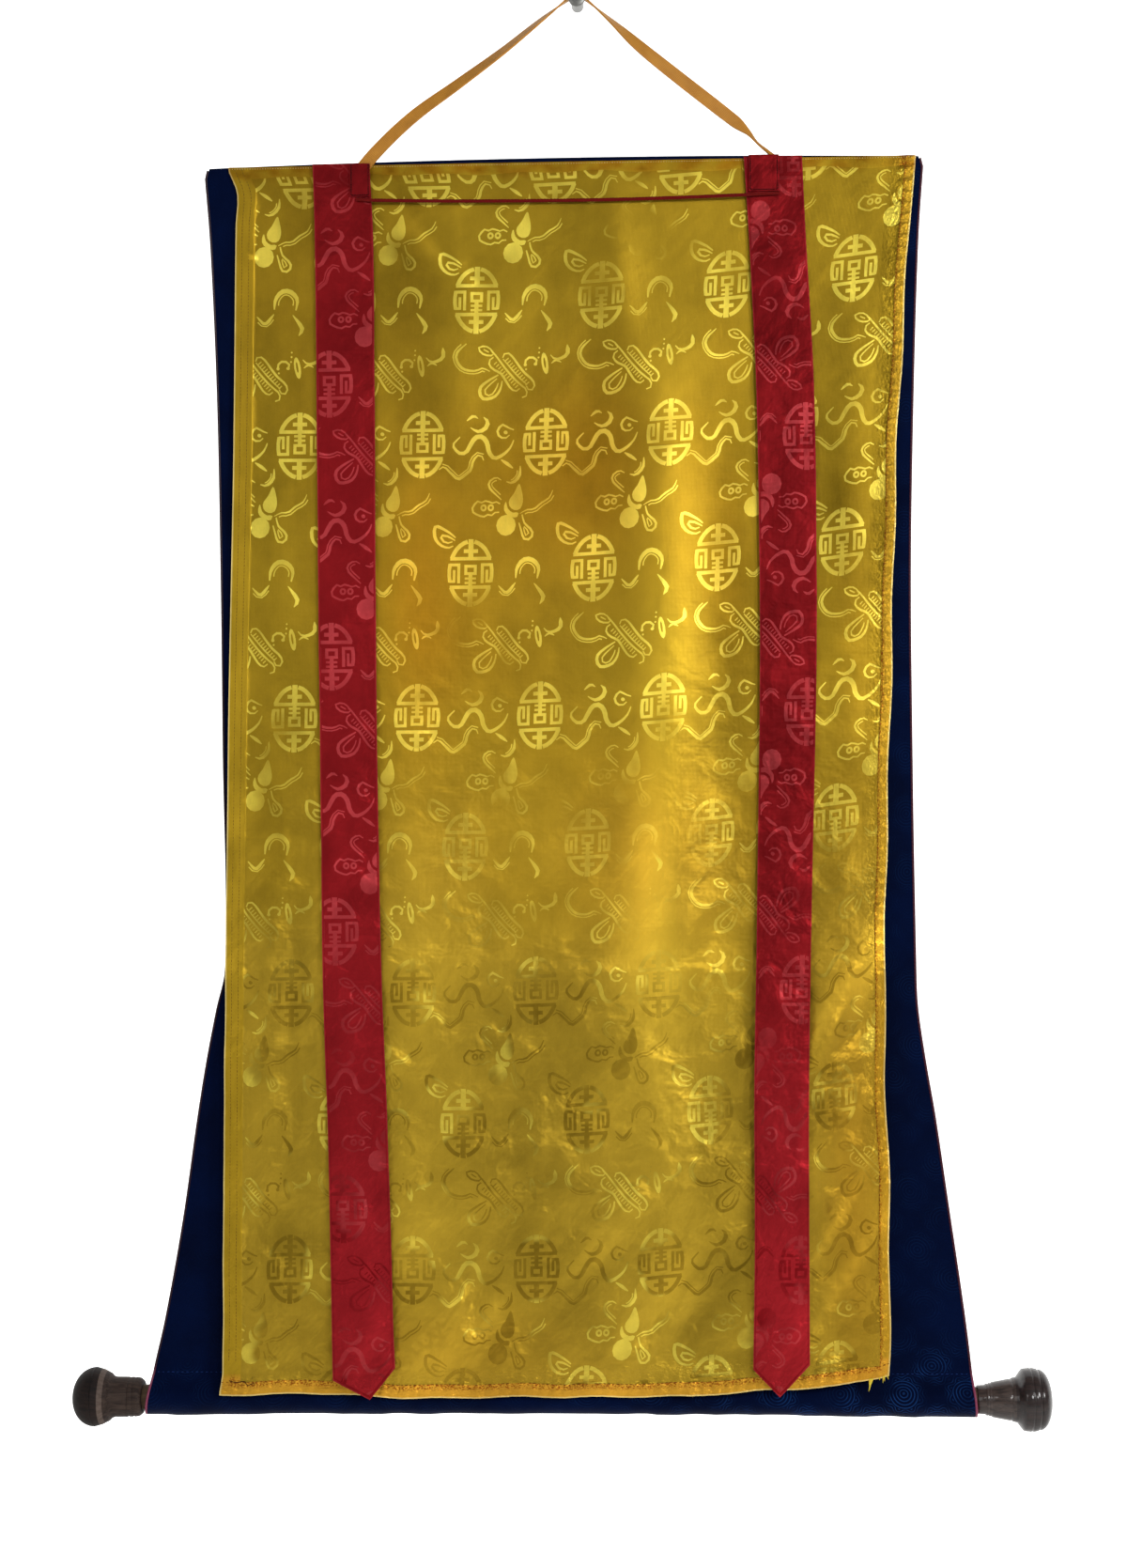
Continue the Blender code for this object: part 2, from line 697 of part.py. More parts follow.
def add_nail(parent, collection):
    """The nail, turned about its axis, its flat end in the plane of the wall."""
    rim = NAIL_REACH + NAIL_HEAD_RIM
    profile = [(rim + NAIL_HEAD_RISE * math.cos(turn), NAIL_HEAD_RADIUS * math.sin(turn))
               for turn in (0.0, math.pi / 6, math.pi / 3, math.pi / 2)]
    profile += [(NAIL_REACH, NAIL_HEAD_RADIUS), (NAIL_REACH, NAIL_RADIUS), (0.0, NAIL_RADIUS), (0.0, 0.0)]
    nail = add_turned("wall_nail", profile, NAIL_SIDES, GREY_STEEL, parent, collection)
    nail.rotation_euler = (math.pi / 2, 0.0, 0.0)
    return nail


def build_thangka():
    """Every piece of the scroll, in its own node."""
    clear_scene()
    collection = bpy.data.collections.new("thangka")
    bpy.context.scene.collection.children.link(collection)
    parent = bpy.data.objects.new("thangka_origin", None)
    collection.objects.link(parent)
    add_nail(parent, collection)
    add_tape(parent, collection)
    add_mount(parent, collection)
    add_piping("piping_left", -1, parent, collection)
    add_piping("piping_right", 1, parent, collection)
    add_rod(parent, collection)
    add_knob("knob_left", LEFT_KNOB, LEFT_KNOB_LENGTH, LEFT_KNOB_FACE, -1, parent, collection)
    add_knob("knob_right", RIGHT_KNOB, RIGHT_KNOB_LENGTH, RIGHT_KNOB_FACE, 1, parent, collection)
    add_cover(parent, collection)
    add_ribbon("ribbon_left", LEFT_RIBBON_SIDES, LEFT_RIBBON_FOOT, parent, collection)
    add_ribbon("ribbon_right", RIGHT_RIBBON_SIDES, RIGHT_RIBBON_FOOT, parent, collection)
    add_tab("tab_left", LEFT_TAB, LEFT_RIBBON_SIDES, parent, collection)
    add_tab("tab_right", RIGHT_TAB, RIGHT_RIBBON_SIDES, parent, collection)
    add_tie_cord(parent, collection)


build_thangka()
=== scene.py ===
import math
from collections import namedtuple
from functools import partial

import bmesh
import bpy
import numpy as np
from mathutils import Matrix, Vector
from mathutils.geometry import delaunay_2d_cdt


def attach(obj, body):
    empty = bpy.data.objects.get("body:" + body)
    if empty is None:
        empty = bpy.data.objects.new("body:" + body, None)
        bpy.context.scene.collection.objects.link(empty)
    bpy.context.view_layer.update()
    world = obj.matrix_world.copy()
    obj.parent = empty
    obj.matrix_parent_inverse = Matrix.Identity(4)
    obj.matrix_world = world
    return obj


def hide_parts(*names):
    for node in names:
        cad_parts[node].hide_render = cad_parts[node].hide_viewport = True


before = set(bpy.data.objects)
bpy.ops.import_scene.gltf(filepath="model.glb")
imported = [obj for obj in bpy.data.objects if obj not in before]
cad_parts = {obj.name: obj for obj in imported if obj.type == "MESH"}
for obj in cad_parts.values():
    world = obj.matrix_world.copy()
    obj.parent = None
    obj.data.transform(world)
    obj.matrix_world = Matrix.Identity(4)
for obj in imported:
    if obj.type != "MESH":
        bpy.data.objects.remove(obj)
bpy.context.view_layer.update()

# Sizes are in millimetres, as a maker would give them. Heights are distances below the nail, depths are
# distances in front of the wall, and a place on a cloth is (across, down) on the cloth as it was cut.
MM = 0.001

# Camera
# The photograph was taken square on, from about a metre and a half, a little to the right of the scroll's
# middle. One of its pixels is 0.62 mm at the scroll.
PHOTO_TALL = 1669
PHOTO_PIXEL = 0.62
CAMERA_DISTANCE = 1500.0
CAMERA_TARGET = Vector((-12.39, -20.0, -519.42))
CAMERA_TURN = math.radians(2.27)
CAMERA_ROLL = math.radians(-0.42)


def add_object(name, data):
    """A new object of the scene, at the origin."""
    thing = bpy.data.objects.new(name, data)
    bpy.context.scene.collection.objects.link(thing)
    return thing


camera = add_object("camera", bpy.data.cameras.new("camera"))
camera.data.lens = camera.data.sensor_width * CAMERA_DISTANCE / (PHOTO_TALL * PHOTO_PIXEL)
camera_side = Vector((math.sin(CAMERA_TURN), -math.cos(CAMERA_TURN), 0.0))
camera.matrix_world = (Matrix.Translation((CAMERA_TARGET + camera_side * CAMERA_DISTANCE) * MM)
                       @ Matrix.Rotation(CAMERA_TURN, 4, "Z")
                       @ Matrix.Rotation(math.pi / 2, 4, "X")
                       @ Matrix.Rotation(CAMERA_ROLL, 4, "Z"))
bpy.context.scene.camera = camera

# Mount cloth
# A panel of navy silk brocade on a plain backing, narrow at the waist and flared to the rod. Its top edge
# is turned over in a hem, and its foot is turned up behind and sewn as a sleeve round the rod.
MOUNT_THICK = 1.4
MOUNT_TOP = 106.5
MOUNT_TOP_CROWN = 3.2
MOUNT_TOP_DEPTH = 8.0
MOUNT_CORNER = 4.0
MOUNT_HEM = 20.0
CROWN_FADE = 60.0
LAYER_PITCH = MOUNT_THICK + 0.5
ROD_RADIUS = 8.0
ROD_BELOW = 924.3
ROD_DEPTH = 21.5
SLEEVE_EASE = 0.35
SLEEVE_SLACK = 1.5
SLEEVE_STITCH = 17.0
SLEEVE_FLAP = 5.0
SLEEVE_WRINKLE = 0.7
SLEEVE_GIRTH = 40.0
WING_RIPPLE = 1.2
WING_START = 150.0
WING_EDGE = 250.0
WING_HEAD = 400.0
WING_FULL = 600.0
WING_FOOT_FADE = 90.0
WAVE_DOWN = 38.0
WAVE_ACROSS = 60.0
MOUNT_COLUMNS = 84
MOUNT_FRONT_ROWS = 140
MOUNT_SLEEVE_ROWS = 28
MOUNT_WIDTH = 500.0

Sides = namedtuple("Sides", "below left right")
MOUNT_SIDES = [Sides(*row) for row in (
    (107, -249, 227), (160, -245, 223), (260, -241, 219), (380, -239, 216), (500, -238, 216),
    (640, -237, 217), (668, -243, 218), (704, -250, 223), (740, -256, 229), (806, -266, 238),
    (872, -278, 247), (907, -286, 251), (936, -291, 254))]


def ease(share):
    """A soft step from 0 to 1."""
    share = np.clip(share, 0.0, 1.0)
    return share * share * (3.0 - 2.0 * share)


def mix(start, end, share):
    """The value a share of the way from start to end."""
    return start + (end - start) * share


def smooth_values(keys, values, at):
    """A smooth curve through the values, read at any places along their keys."""
    keys = np.asarray(keys, float)
    values = np.asarray(values, float)
    after = np.minimum(np.arange(len(keys)) + 1, len(keys) - 1)
    before = np.maximum(np.arange(len(keys)) - 1, 0)
    slopes = (values[after] - values[before]) / (keys[after] - keys[before])
    at = np.clip(at, keys[0], keys[-1])
    here = np.clip(np.searchsorted(keys, at, side="right") - 1, 0, len(keys) - 2)
    span = keys[here + 1] - keys[here]
    t = (at - keys[here]) / span
    rise = values[here + 1] - values[here]
    lead = slopes[here] * span - rise
    trail = rise - slopes[here + 1] * span
    return values[here] + t * rise + t * (1.0 - t) * (lead * (1.0 - t) + trail * t)


def read_sides(rows, at):
    """The left and right edges of a cloth at any heights, from its table of sides."""
    below = [row.below for row in rows]
    left = smooth_values(below, [row.left for row in rows], at)
    right = smooth_values(below, [row.right for row in rows], at)
    return left, right


def spread(*values):
    """Points whose coordinates are single values, rows or columns, each spread over the others."""
    return np.stack(np.broadcast_arrays(*values), axis=-1)


def in_place(x, depth, below):
    """Points of the frame, in metres."""
    return spread(x, np.negative(depth), np.negative(below)) * MM


def crumple(across, down, seed, waves, longest, height):
    """Soft irregular unevenness of a cloth: a sum of waves in every direction, in millimetres."""
    draw = np.random.default_rng(seed)
    total = np.zeros(np.broadcast(across, down).shape)
    for _ in range(waves):
        length = longest * draw.uniform(0.35, 1.0)
        heading = draw.uniform(0.0, math.pi)
        phase = draw.uniform(0.0, 2.0 * math.pi)
        run = across * math.cos(heading) + down * math.sin(heading)
        total += np.sin(run * 2.0 * math.pi / length + phase) * length / longest
    return total * height / math.sqrt(waves)


def mount_depth(below):
    """The mount hangs in a plane from its top hem to the stitch line over the rod."""
    foot = ROD_BELOW - SLEEVE_STITCH
    return mix(MOUNT_TOP_DEPTH, ROD_DEPTH + LAYER_PITCH / 2, (below - MOUNT_TOP) / (foot - MOUNT_TOP))


def mount_ripple(x, below):
    """The flared wings of the mount stand a little proud and wavy at their edges."""
    wing = ease((np.abs(x) - WING_START) / (WING_EDGE - WING_START))
    head = ease((below - WING_HEAD) / (WING_FULL - WING_HEAD))
    foot = ease((ROD_BELOW - SLEEVE_STITCH - below) / WING_FOOT_FADE)
    return WING_RIPPLE * wing * head * foot * np.sin(below / WAVE_DOWN + x / WAVE_ACROSS)


def mount_rows():
    """Rows of the mount: up the back of the top hem, down the front, round the rod and up the flap."""
    foot = ROD_BELOW - SLEEVE_STITCH
    turn = LAYER_PITCH / 2
    rows = [("hem", below) for below in np.linspace(MOUNT_TOP + MOUNT_HEM, MOUNT_TOP + turn, 5)]
    rows += [("turn", angle) for angle in np.linspace(0.0, math.pi, 9)[1:-1]]
    rows += [("front", below) for below in np.linspace(MOUNT_TOP + turn, foot, MOUNT_FRONT_ROWS + 1)]
    rows += [("sleeve", share) for share in np.linspace(0.0, 1.0, MOUNT_SLEEVE_ROWS + 1)]
    rows += [("flap", SLEEVE_STITCH), ("flap", SLEEVE_STITCH + SLEEVE_FLAP)]
    return rows


def mount_point(row, share):
    """Points of the mount's middle surface: a row of mount_rows, and shares of the width."""
    kind, value = row
    turn = LAYER_PITCH / 2
    if kind == "hem":
        below = value
        depth = mount_depth(below) - LAYER_PITCH
    elif kind == "turn":
        below = MOUNT_TOP + turn * (1.0 - math.sin(value))
        depth = mount_depth(MOUNT_TOP + turn) - turn * (1.0 + math.cos(value))
    elif kind == "front":
        below = value
        depth = mount_depth(below)
    elif kind == "flap":
        below = ROD_BELOW - value
        depth = ROD_DEPTH - turn
    else:
        slack = SLEEVE_SLACK * (2.0 * share - 1.0) ** 2
        wrinkle = crumple(share * MOUNT_WIDTH, value * SLEEVE_GIRTH, seed=5, waves=7, longest=46.0,
                          height=1.0)
        slack = slack + SLEEVE_WRINKLE * np.clip(0.4 + wrinkle, 0.0, 1.0) * math.sin(math.pi * value)
        radius = ROD_RADIUS + SLEEVE_EASE + MOUNT_THICK / 2 + slack
        reach = math.hypot(turn, SLEEVE_STITCH)
        tangent = np.arccos(radius / reach) + math.atan2(turn, SLEEVE_STITCH)
        angle = mix(tangent, 2.0 * math.pi - tangent, value)
        below = ROD_BELOW - radius * np.cos(angle)
        depth = ROD_DEPTH + radius * np.sin(angle)
    left, right = read_sides(MOUNT_SIDES, below)
    rounding = MOUNT_CORNER * (1.0 - ease((below - MOUNT_TOP) / MOUNT_CORNER)) / 2
    x = mix(left + rounding, right - rounding, share)
    if kind == "front":
        depth = depth + mount_ripple(x, below)
    fade = 1.0 - ease((below - MOUNT_TOP) / CROWN_FADE)
    crown = MOUNT_TOP_CROWN * (1.0 - (2.0 * share - 1.0) ** 2) * fade
    return x, depth, below - crown


def lattice_faces(rows, columns):
    """Four-sided faces between the points of a lattice, turned to the side from which rows run down."""
    index = np.arange(rows * columns).reshape(rows, columns)
    corners = index[:-1, :-1], index[1:, :-1], index[1:, 1:], index[:-1, 1:]
    return np.stack([corner.ravel() for corner in corners], axis=1)


def lattice_normals(points):
    """Which way each point of a lattice faces, from its neighbours down and across."""
    facing = np.cross(np.gradient(points, axis=0), np.gradient(points, axis=1))
    return (facing / np.linalg.norm(facing, axis=-1, keepdims=True)).reshape(-1, 3)


def add_cloth(name, middle, facing, faces, thickness, places, material, tone_and_light=None, **marks):
    """A closed cloth: two layers, half a thickness either side of the middle surface, with a wall round
    the edge. Each mark is a value for every face, and a tone three values for every point: a warmth that
    is partly painted warm reflection, painted highlight and shade, and how strongly the figure shows in
    the painted sheen. The material reads them."""
    count = len(middle)
    half = facing * thickness / 2 * MM
    points = np.concatenate((middle + half, middle - half))
    around = np.roll(faces, -1, axis=1)
    edges = np.stack((faces.ravel(), around.ravel()), axis=1)
    _, first, times = np.unique(np.sort(edges, axis=1), axis=0, return_index=True, return_counts=True)
    rim = edges[first[times == 1]]
    walls = np.stack((rim[:, 1], rim[:, 0], rim[:, 0] + count, rim[:, 1] + count), axis=1)
    mesh = bpy.data.meshes.new(name)
    mesh.from_pydata(points.tolist(), [], faces.tolist() + (faces[:, ::-1] + count).tolist() + walls.tolist())
    outward = np.cross(points[walls[:, 1]] - points[walls[:, 0]], points[walls[:, 3]] - points[walls[:, 0]])
    outward /= np.maximum(np.linalg.norm(outward, axis=1, keepdims=True), 1e-12)
    corners = np.concatenate((facing[faces.ravel()], -facing[faces[:, ::-1].ravel()],
                              np.repeat(outward, 4, axis=0)))
    mesh.shade_smooth()
    mesh.normals_split_custom_set(corners.tolist())
    for layer_name, values in (("cloth_place", places), ("cloth_tone_and_light", tone_and_light)):
        if values is not None:
            layer = mesh.attributes.new(layer_name, "FLOAT_VECTOR", "POINT")
            layer.data.foreach_set("vector", np.concatenate((values, values)).astype(np.float32).ravel())
    for mark, values in marks.items():
        layer = mesh.attributes.new(mark, "FLOAT", "FACE")
        edge_values = np.zeros(len(walls))
        layer.data.foreach_set("value", np.concatenate((values, values, edge_values)).astype(np.float32))
    mesh.materials.append(material)
    return add_object(name, mesh)


def linear(code):
    """A colour given as sRGB hex, turned to linear."""
    parts = [int(code[start:start + 2], 16) / 255.0 for start in (1, 3, 5)]
    return tuple(p / 12.92 if p <= 0.04045 else ((p + 0.055) / 1.055) ** 2.4 for p in parts) + (1.0,)


# The option of a mix of two colours, the numbers of its sockets for the factor and the colours, and of its
# result, and the option of a range with soft ends.
COLOURS = {"data_type": "RGBA"}
MIX_SOCKETS = (0, 6, 7)
MIX_RESULT = 2
SOFT_STEP = {"interpolation_type": "SMOOTHSTEP"}


def plug(node, sockets):
    """Fills sockets of a node, given by name or number, or as a list in their order: a value is set, and
    an output is linked. Another node stands for its main output."""
    if not isinstance(sockets, dict):
        order = MIX_SOCKETS if node.bl_idname == "ShaderNodeMix" else range(len(sockets))
        sockets = dict(zip(order, sockets))
    for socket, value in sockets.items():
        if isinstance(value, bpy.types.Node):
            value = value.outputs[MIX_RESULT if value.bl_idname == "ShaderNodeMix" else 0]
        if isinstance(value, bpy.types.NodeSocket):
            node.id_data.links.new(value, node.inputs[socket])
        else:
            node.inputs[socket].default_value = value


def add_node(tree, kind, sockets=(), **options):
    """A node with its options, and its sockets set or linked. A range's sockets are the value, the range
    it comes from and the range it goes to."""
    node = tree.nodes.new(kind if "Node" in kind else "ShaderNode" + kind)
    for option, value in options.items():
        setattr(node, option, value)
    plug(node, sockets)
    return node


def new_material(name, settings):
    """A material, what adds a node to it, and its shader with the plain settings."""
    material = bpy.data.materials.new(name)
    material.use_nodes = True
    shader = material.node_tree.nodes["Principled BSDF"]
    plug(shader, settings)
    return material, partial(add_node, material.node_tree), shader


def weave(add, place, spacing, height):
    """A woven surface: warp and weft threads with slubs, as a bump. The spacing is in millimetres. Real silk
    has several threads to the millimetre, too fine to show, so the weave is drawn coarser."""
    across = add("TexWave", {"Vector": place, "Scale": math.tau / 20.0 / spacing, "Distortion": 0.6,
                             "Detail": 1.0}, bands_direction="X")
    down = add("TexWave", {"Vector": place, "Scale": math.tau / 20.0 / spacing, "Distortion": 0.6,
                           "Detail": 1.0}, bands_direction="Y")
    threads = add("Math", [across.outputs["Fac"], down.outputs["Fac"]], operation="MAXIMUM")
    return add("Bump", {"Height": threads, "Strength": 0.5, "Distance": height * MM})


# Silk brocade, dyed navy. The ground is a dull satin, and the faint figure, rings like ripples round a
# lotus, shows only because its threads run the other way and catch the light. The scale of a noise is one
# over the size of its marks, in millimetres on a cloth and in metres elsewhere.
NAVY_GROUND = "#01051A"
NAVY_LIGHT = "#010A28"
NAVY_FIGURE = "#1F4A8C"
NAVY_SPACING = 27.0
RIPPLE_SPACING = 2.0
RIPPLE_REACH = 9.5
FLAME_REACH = 15.0
navy, add, shader = new_material("navy_silk_brocade", {
    "Roughness": 0.6, "IOR": 1.5, "Sheen Weight": 0.02, "Sheen Roughness": 0.5,
    "Sheen Tint": linear("#5B6FD0"), "Specular IOR Level": 0.12, "Specular Tint": linear("#6C86E0")})
place = add("Attribute", attribute_name="cloth_place").outputs["Vector"]
stagger = add("Mapping", {"Vector": place, "Rotation": (0.0, 0.0, math.pi / 4),
                          "Scale": (1.0 / NAVY_SPACING,) * 3})
cell = add("TexVoronoi", {"Vector": stagger, "Scale": 1.0, "Randomness": 0.0}, voronoi_dimensions="2D")
to_centre = add("VectorMath", [stagger, cell.outputs["Position"]], operation="SUBTRACT")
parts = add("SeparateXYZ", [to_centre])
heading = add("Math", [parts.outputs["Y"], parts.outputs["X"]], operation="ARCTAN2")
petals = add("Math", [heading, 8.0], operation="MULTIPLY")
petals = add("Math", [petals], operation="COSINE")
reach = add("Math", [cell.outputs["Distance"], NAVY_SPACING], operation="MULTIPLY")
outer = add("MapRange", [reach, RIPPLE_REACH - 0.5, RIPPLE_REACH + 0.5], **SOFT_STEP)
bent = add("Math", [petals, outer], operation="MULTIPLY")
waved = add("Math", [bent, 1.3, reach], operation="MULTIPLY_ADD")
rings = add("Math", [waved, math.tau / RIPPLE_SPACING], operation="MULTIPLY")
rings = add("Math", [rings], operation="SINE")
rings = add("MapRange", [rings, 0.1, 0.9], **SOFT_STEP)
inside = add("MapRange", [reach, FLAME_REACH, RIPPLE_REACH], **SOFT_STEP)
blotch = add("TexNoise", {"Vector": place, "Scale": 0.022, "Detail": 3.0})
blotch_part = add("MapRange", [blotch, 0.35, 0.7])
# The figure is painted brighter where it would catch the light, as painted sheen: strongest on the curve
# of the sleeve and towards the right, and only just showing on the flat cloth above.
where = add("TexCoord").outputs["Object"]
spot = add("SeparateXYZ", [where])
on_sleeve = add("MapRange", [spot.outputs["Z"], -0.88, -0.915, 0.03, 0.17], **SOFT_STEP)
rightwards = add("MapRange", [spot.outputs["X"], -0.05, 0.2, 0.35, 1.7], **SOFT_STEP)
painted_figure_sheen = add("Math", [on_sleeve, rightwards], operation="MULTIPLY")
figure = add("Math", [rings, inside], operation="MULTIPLY")
figure = add("Math", [figure, painted_figure_sheen], operation="MULTIPLY")
worn = add("TexNoise", {"Vector": place, "Scale": 0.045, "Detail": 3.0})
worn = add("MapRange", [worn, 0.4, 0.6, 0.15, 1.2], **SOFT_STEP)
figure = add("Math", [figure, worn], operation="MULTIPLY")
ground = add("Mix", [blotch_part, linear(NAVY_GROUND), linear(NAVY_LIGHT)], **COLOURS)
cloth_colour = add("Mix", [figure, ground, linear(NAVY_FIGURE)], **COLOURS)
plug(shader, {"Base Color": cloth_colour, "Normal": weave(add, place, spacing=0.9, height=0.12)})

shares = np.linspace(0.0, 1.0, MOUNT_COLUMNS + 1)
lattice = np.array([in_place(*mount_point(row, shares)) for row in mount_rows()])
steps = np.linalg.norm(np.diff(lattice, axis=0), axis=2).mean(axis=1) / MM
down = np.concatenate(([0.0], np.cumsum(steps)))
places = spread(shares * MOUNT_WIDTH, down[:, None], 0.0).reshape(-1, 3)
mount_cloth = add_cloth("navy_mount_cloth", lattice.reshape(-1, 3), lattice_normals(lattice),
                        lattice_faces(*lattice.shape[:2]), MOUNT_THICK, places, navy)
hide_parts("mount_cloth")
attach(mount_cloth, "root")

# Stitches
# The sleeve is closed by a row of running stitches through both layers, in navy cotton thread. Every
# sewn line on the scroll is made by the same tree: short rounded stitches laid along a path.
THREAD_SIDES = 6
THREAD_RINGS = 4
STITCH_PROUD = 0.05


def stitch_tree():
    """A tree that lays stitches along the edges of a mesh, with named inputs for its sizes."""
    tree = bpy.data.node_groups.new("Row of stitches", "GeometryNodeTree")
    add = partial(add_node, tree)
    tree.interface.new_socket(name="Path", in_out="INPUT", socket_type="NodeSocketGeometry")
    for name in ("Stitch pitch", "Stitch length", "Thread thickness"):
        tree.interface.new_socket(name=name, in_out="INPUT", socket_type="NodeSocketFloat")
    tree.interface.new_socket(name="Thread", in_out="INPUT", socket_type="NodeSocketMaterial")
    tree.interface.new_socket(name="Stitches", in_out="OUTPUT", socket_type="NodeSocketGeometry")
    given = add("NodeGroupInput").outputs
    line = add("GeometryNodeMeshToCurve", {"Mesh": given["Path"]})
    marks = add("GeometryNodeResampleCurve", {"Curve": line, "Length": given["Stitch pitch"]},
                mode="LENGTH")
    half = add("Math", [given["Stitch length"], 0.5], operation="MULTIPLY")
    thin = add("Math", [given["Thread thickness"], 0.5], operation="MULTIPLY")
    size = add("CombineXYZ", {"X": half, "Y": thin, "Z": thin})
    bead = add("GeometryNodeMeshUVSphere", {"Segments": THREAD_SIDES, "Rings": THREAD_RINGS, "Radius": 1.0})
    stitch = add("GeometryNodeTransform", {"Geometry": bead, "Scale": size})
    along = add("GeometryNodeInputTangent")
    turn = add("FunctionNodeAlignRotationToVector", {"Vector": along}, axis="X")
    uneven = add("FunctionNodeRandomValue", {2: 0.8, 3: 1.15, "Seed": 11}, data_type="FLOAT")
    row = add("GeometryNodeInstanceOnPoints", {"Points": marks, "Instance": stitch, "Rotation": turn,
                                               "Scale": uneven.outputs[1]})
    real = add("GeometryNodeRealizeInstances", [row])
    smooth = add("GeometryNodeSetShadeSmooth", {"Geometry": real})
    dressed = add("GeometryNodeSetMaterial", {"Geometry": smooth, "Material": given["Thread"]})
    add("NodeGroupOutput", [dressed])
    return tree


row_of_stitches = stitch_tree()


def as_mesh(name, source):
    """The evaluated object as a plain mesh in a new object; the source is removed."""
    bpy.context.view_layer.update()
    ready = source.evaluated_get(bpy.context.evaluated_depsgraph_get())
    mesh = bpy.data.meshes.new_from_object(ready)
    bpy.data.objects.remove(source)
    mesh.name = name
    return add_object(name, mesh)


def sew(name, lines, pitch, length, thickness, thread):
    """Rows of stitches along lines of points, as one plain mesh."""
    mesh = bpy.data.meshes.new(name)
    points = np.concatenate(lines)
    starts = np.cumsum([0] + [len(line) for line in lines])
    edges = [(i, i + 1) for start, end in zip(starts, starts[1:]) for i in range(start, end - 1)]
    mesh.from_pydata(points.tolist(), edges, [])
    path = add_object(name, mesh)
    modifier = path.modifiers.new("Stitches", "NODES")
    modifier.node_group = row_of_stitches
    sizes = {"Stitch pitch": pitch * MM, "Stitch length": length * MM, "Thread thickness": thickness * MM,
             "Thread": thread}
    for item in row_of_stitches.interface.items_tree:
        if item.name in sizes:
            modifier[item.identifier] = sizes[item.name]
    return as_mesh(name, path)


def thread_material(name, colour):
    """Spun sewing thread: matt, with a faint sheen and a slight unevenness of dye."""
    material, add, shader = new_material(name, {
        "Roughness": 0.75, "IOR": 1.5, "Sheen Weight": 0.02, "Specular IOR Level": 0.08})
    where = add("TexCoord").outputs["Object"]
    noise = add("TexNoise", {"Vector": where, "Scale": 900.0, "Detail": 2.0})
    shade = add("Mix", [0.5, linear(colour), noise.outputs["Color"]], blend_type="MULTIPLY", **COLOURS)
    plug(shader, {"Base Color": shade})
    return material


navy_thread = thread_material("navy_cotton_thread", "#233F86")
sleeve_line_below = ROD_BELOW - SLEEVE_STITCH
share_run = np.linspace(0.004, 0.996, 120)
seam_x, seam_depth, seam_below = mount_point(("front", sleeve_line_below), share_run)
sleeve_line = in_place(seam_x, seam_depth + MOUNT_THICK / 2 + STITCH_PROUD, seam_below)
sleeve_back = in_place(seam_x, seam_depth - LAYER_PITCH - MOUNT_THICK / 2 - STITCH_PROUD, seam_below)
hem_x, hem_depth, hem_below = mount_point(("hem", MOUNT_TOP + MOUNT_HEM - 3.0), share_run)
hem_back = in_place(hem_x, hem_depth - MOUNT_THICK / 2 - STITCH_PROUD, hem_below)
mount_stitches = sew("mount_stitches", [sleeve_line, sleeve_back, hem_back], pitch=3.2, length=2.1,
                     thickness=0.35, thread=navy_thread)
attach(mount_stitches, "root")

# Piping
# A narrow bias strip of dark red satin is folded over a filler thread and sewn along both side edges of
# the mount, and on round the ends of its sleeve.
PIPING_FULL = 1.7
PIPING_SIDES = 10

# Silk satin, dyed a deep bluish red. Folded tight, it shows small diagonal pulls, which are painted
# lighter and darker as their painted shade besides their bump, and a soft shine. It is painted darker
# towards the left as painted shade, and is paler round the ends of the sleeve.
piping_satin, add, shader = new_material("red_satin_piping", {
    "Roughness": 0.42, "IOR": 1.5, "Sheen Weight": 0.1, "Sheen Tint": linear("#E2608A"),
    "Specular IOR Level": 0.3})
where = add("TexCoord").outputs["Object"]
pulls = add("TexWave", {"Vector": where, "Scale": 260.0, "Distortion": 3.0, "Detail": 2.0},
            bands_direction="DIAGONAL")
# Painted shade of the pulls: their colour follows the same waves as their bump.
shade = add("Mix", [pulls.outputs["Fac"], linear("#2A0613"), linear("#4C0E22")], **COLOURS)
spot = add("SeparateXYZ", [where])
# Painted shade: the piping is darkened towards the left.
painted_left_shade = add("MapRange", [spot.outputs["X"], 0.1, -0.2, 0.0, 0.75])
shade = add("Mix", [painted_left_shade, shade, linear("#0A0312")], **COLOURS)
height = spot.outputs["Z"]
paler_at_sleeve = add("MapRange", [height, -0.9, -0.915, 0.0, 0.75], **SOFT_STEP)
shade = add("Mix", [paler_at_sleeve, shade, linear("#8E3A58")], **COLOURS)
pull_bump = add("Bump", {"Height": pulls.outputs["Fac"], "Strength": 0.4, "Distance": 0.1 * MM})
plug(shader, {"Base Color": shade, "Normal": pull_bump})


def add_tubes(name, paths, thickness, sides, material, taper=1.0):
    """Round threads through lists of points, with closed ends, as one plain mesh."""
    curve = bpy.data.curves.new(name, "CURVE")
    curve.dimensions = "3D"
    curve.bevel_depth = thickness / 2 * MM
    curve.bevel_resolution = (sides - 4) // 2
    curve.use_fill_caps = True
    for path in paths:
        spline = curve.splines.new("POLY")
        spline.points.add(len(path) - 1)
        for index, (target, point) in enumerate(zip(spline.points, path)):
            target.co = (*point, 1.0)
            target.radius = mix(1.0, taper, index / (len(path) - 1))
    piece = as_mesh(name, add_object(name, curve))
    piece.data.shade_smooth()
    piece.data.materials.clear()
    piece.data.materials.append(material)
    return piece


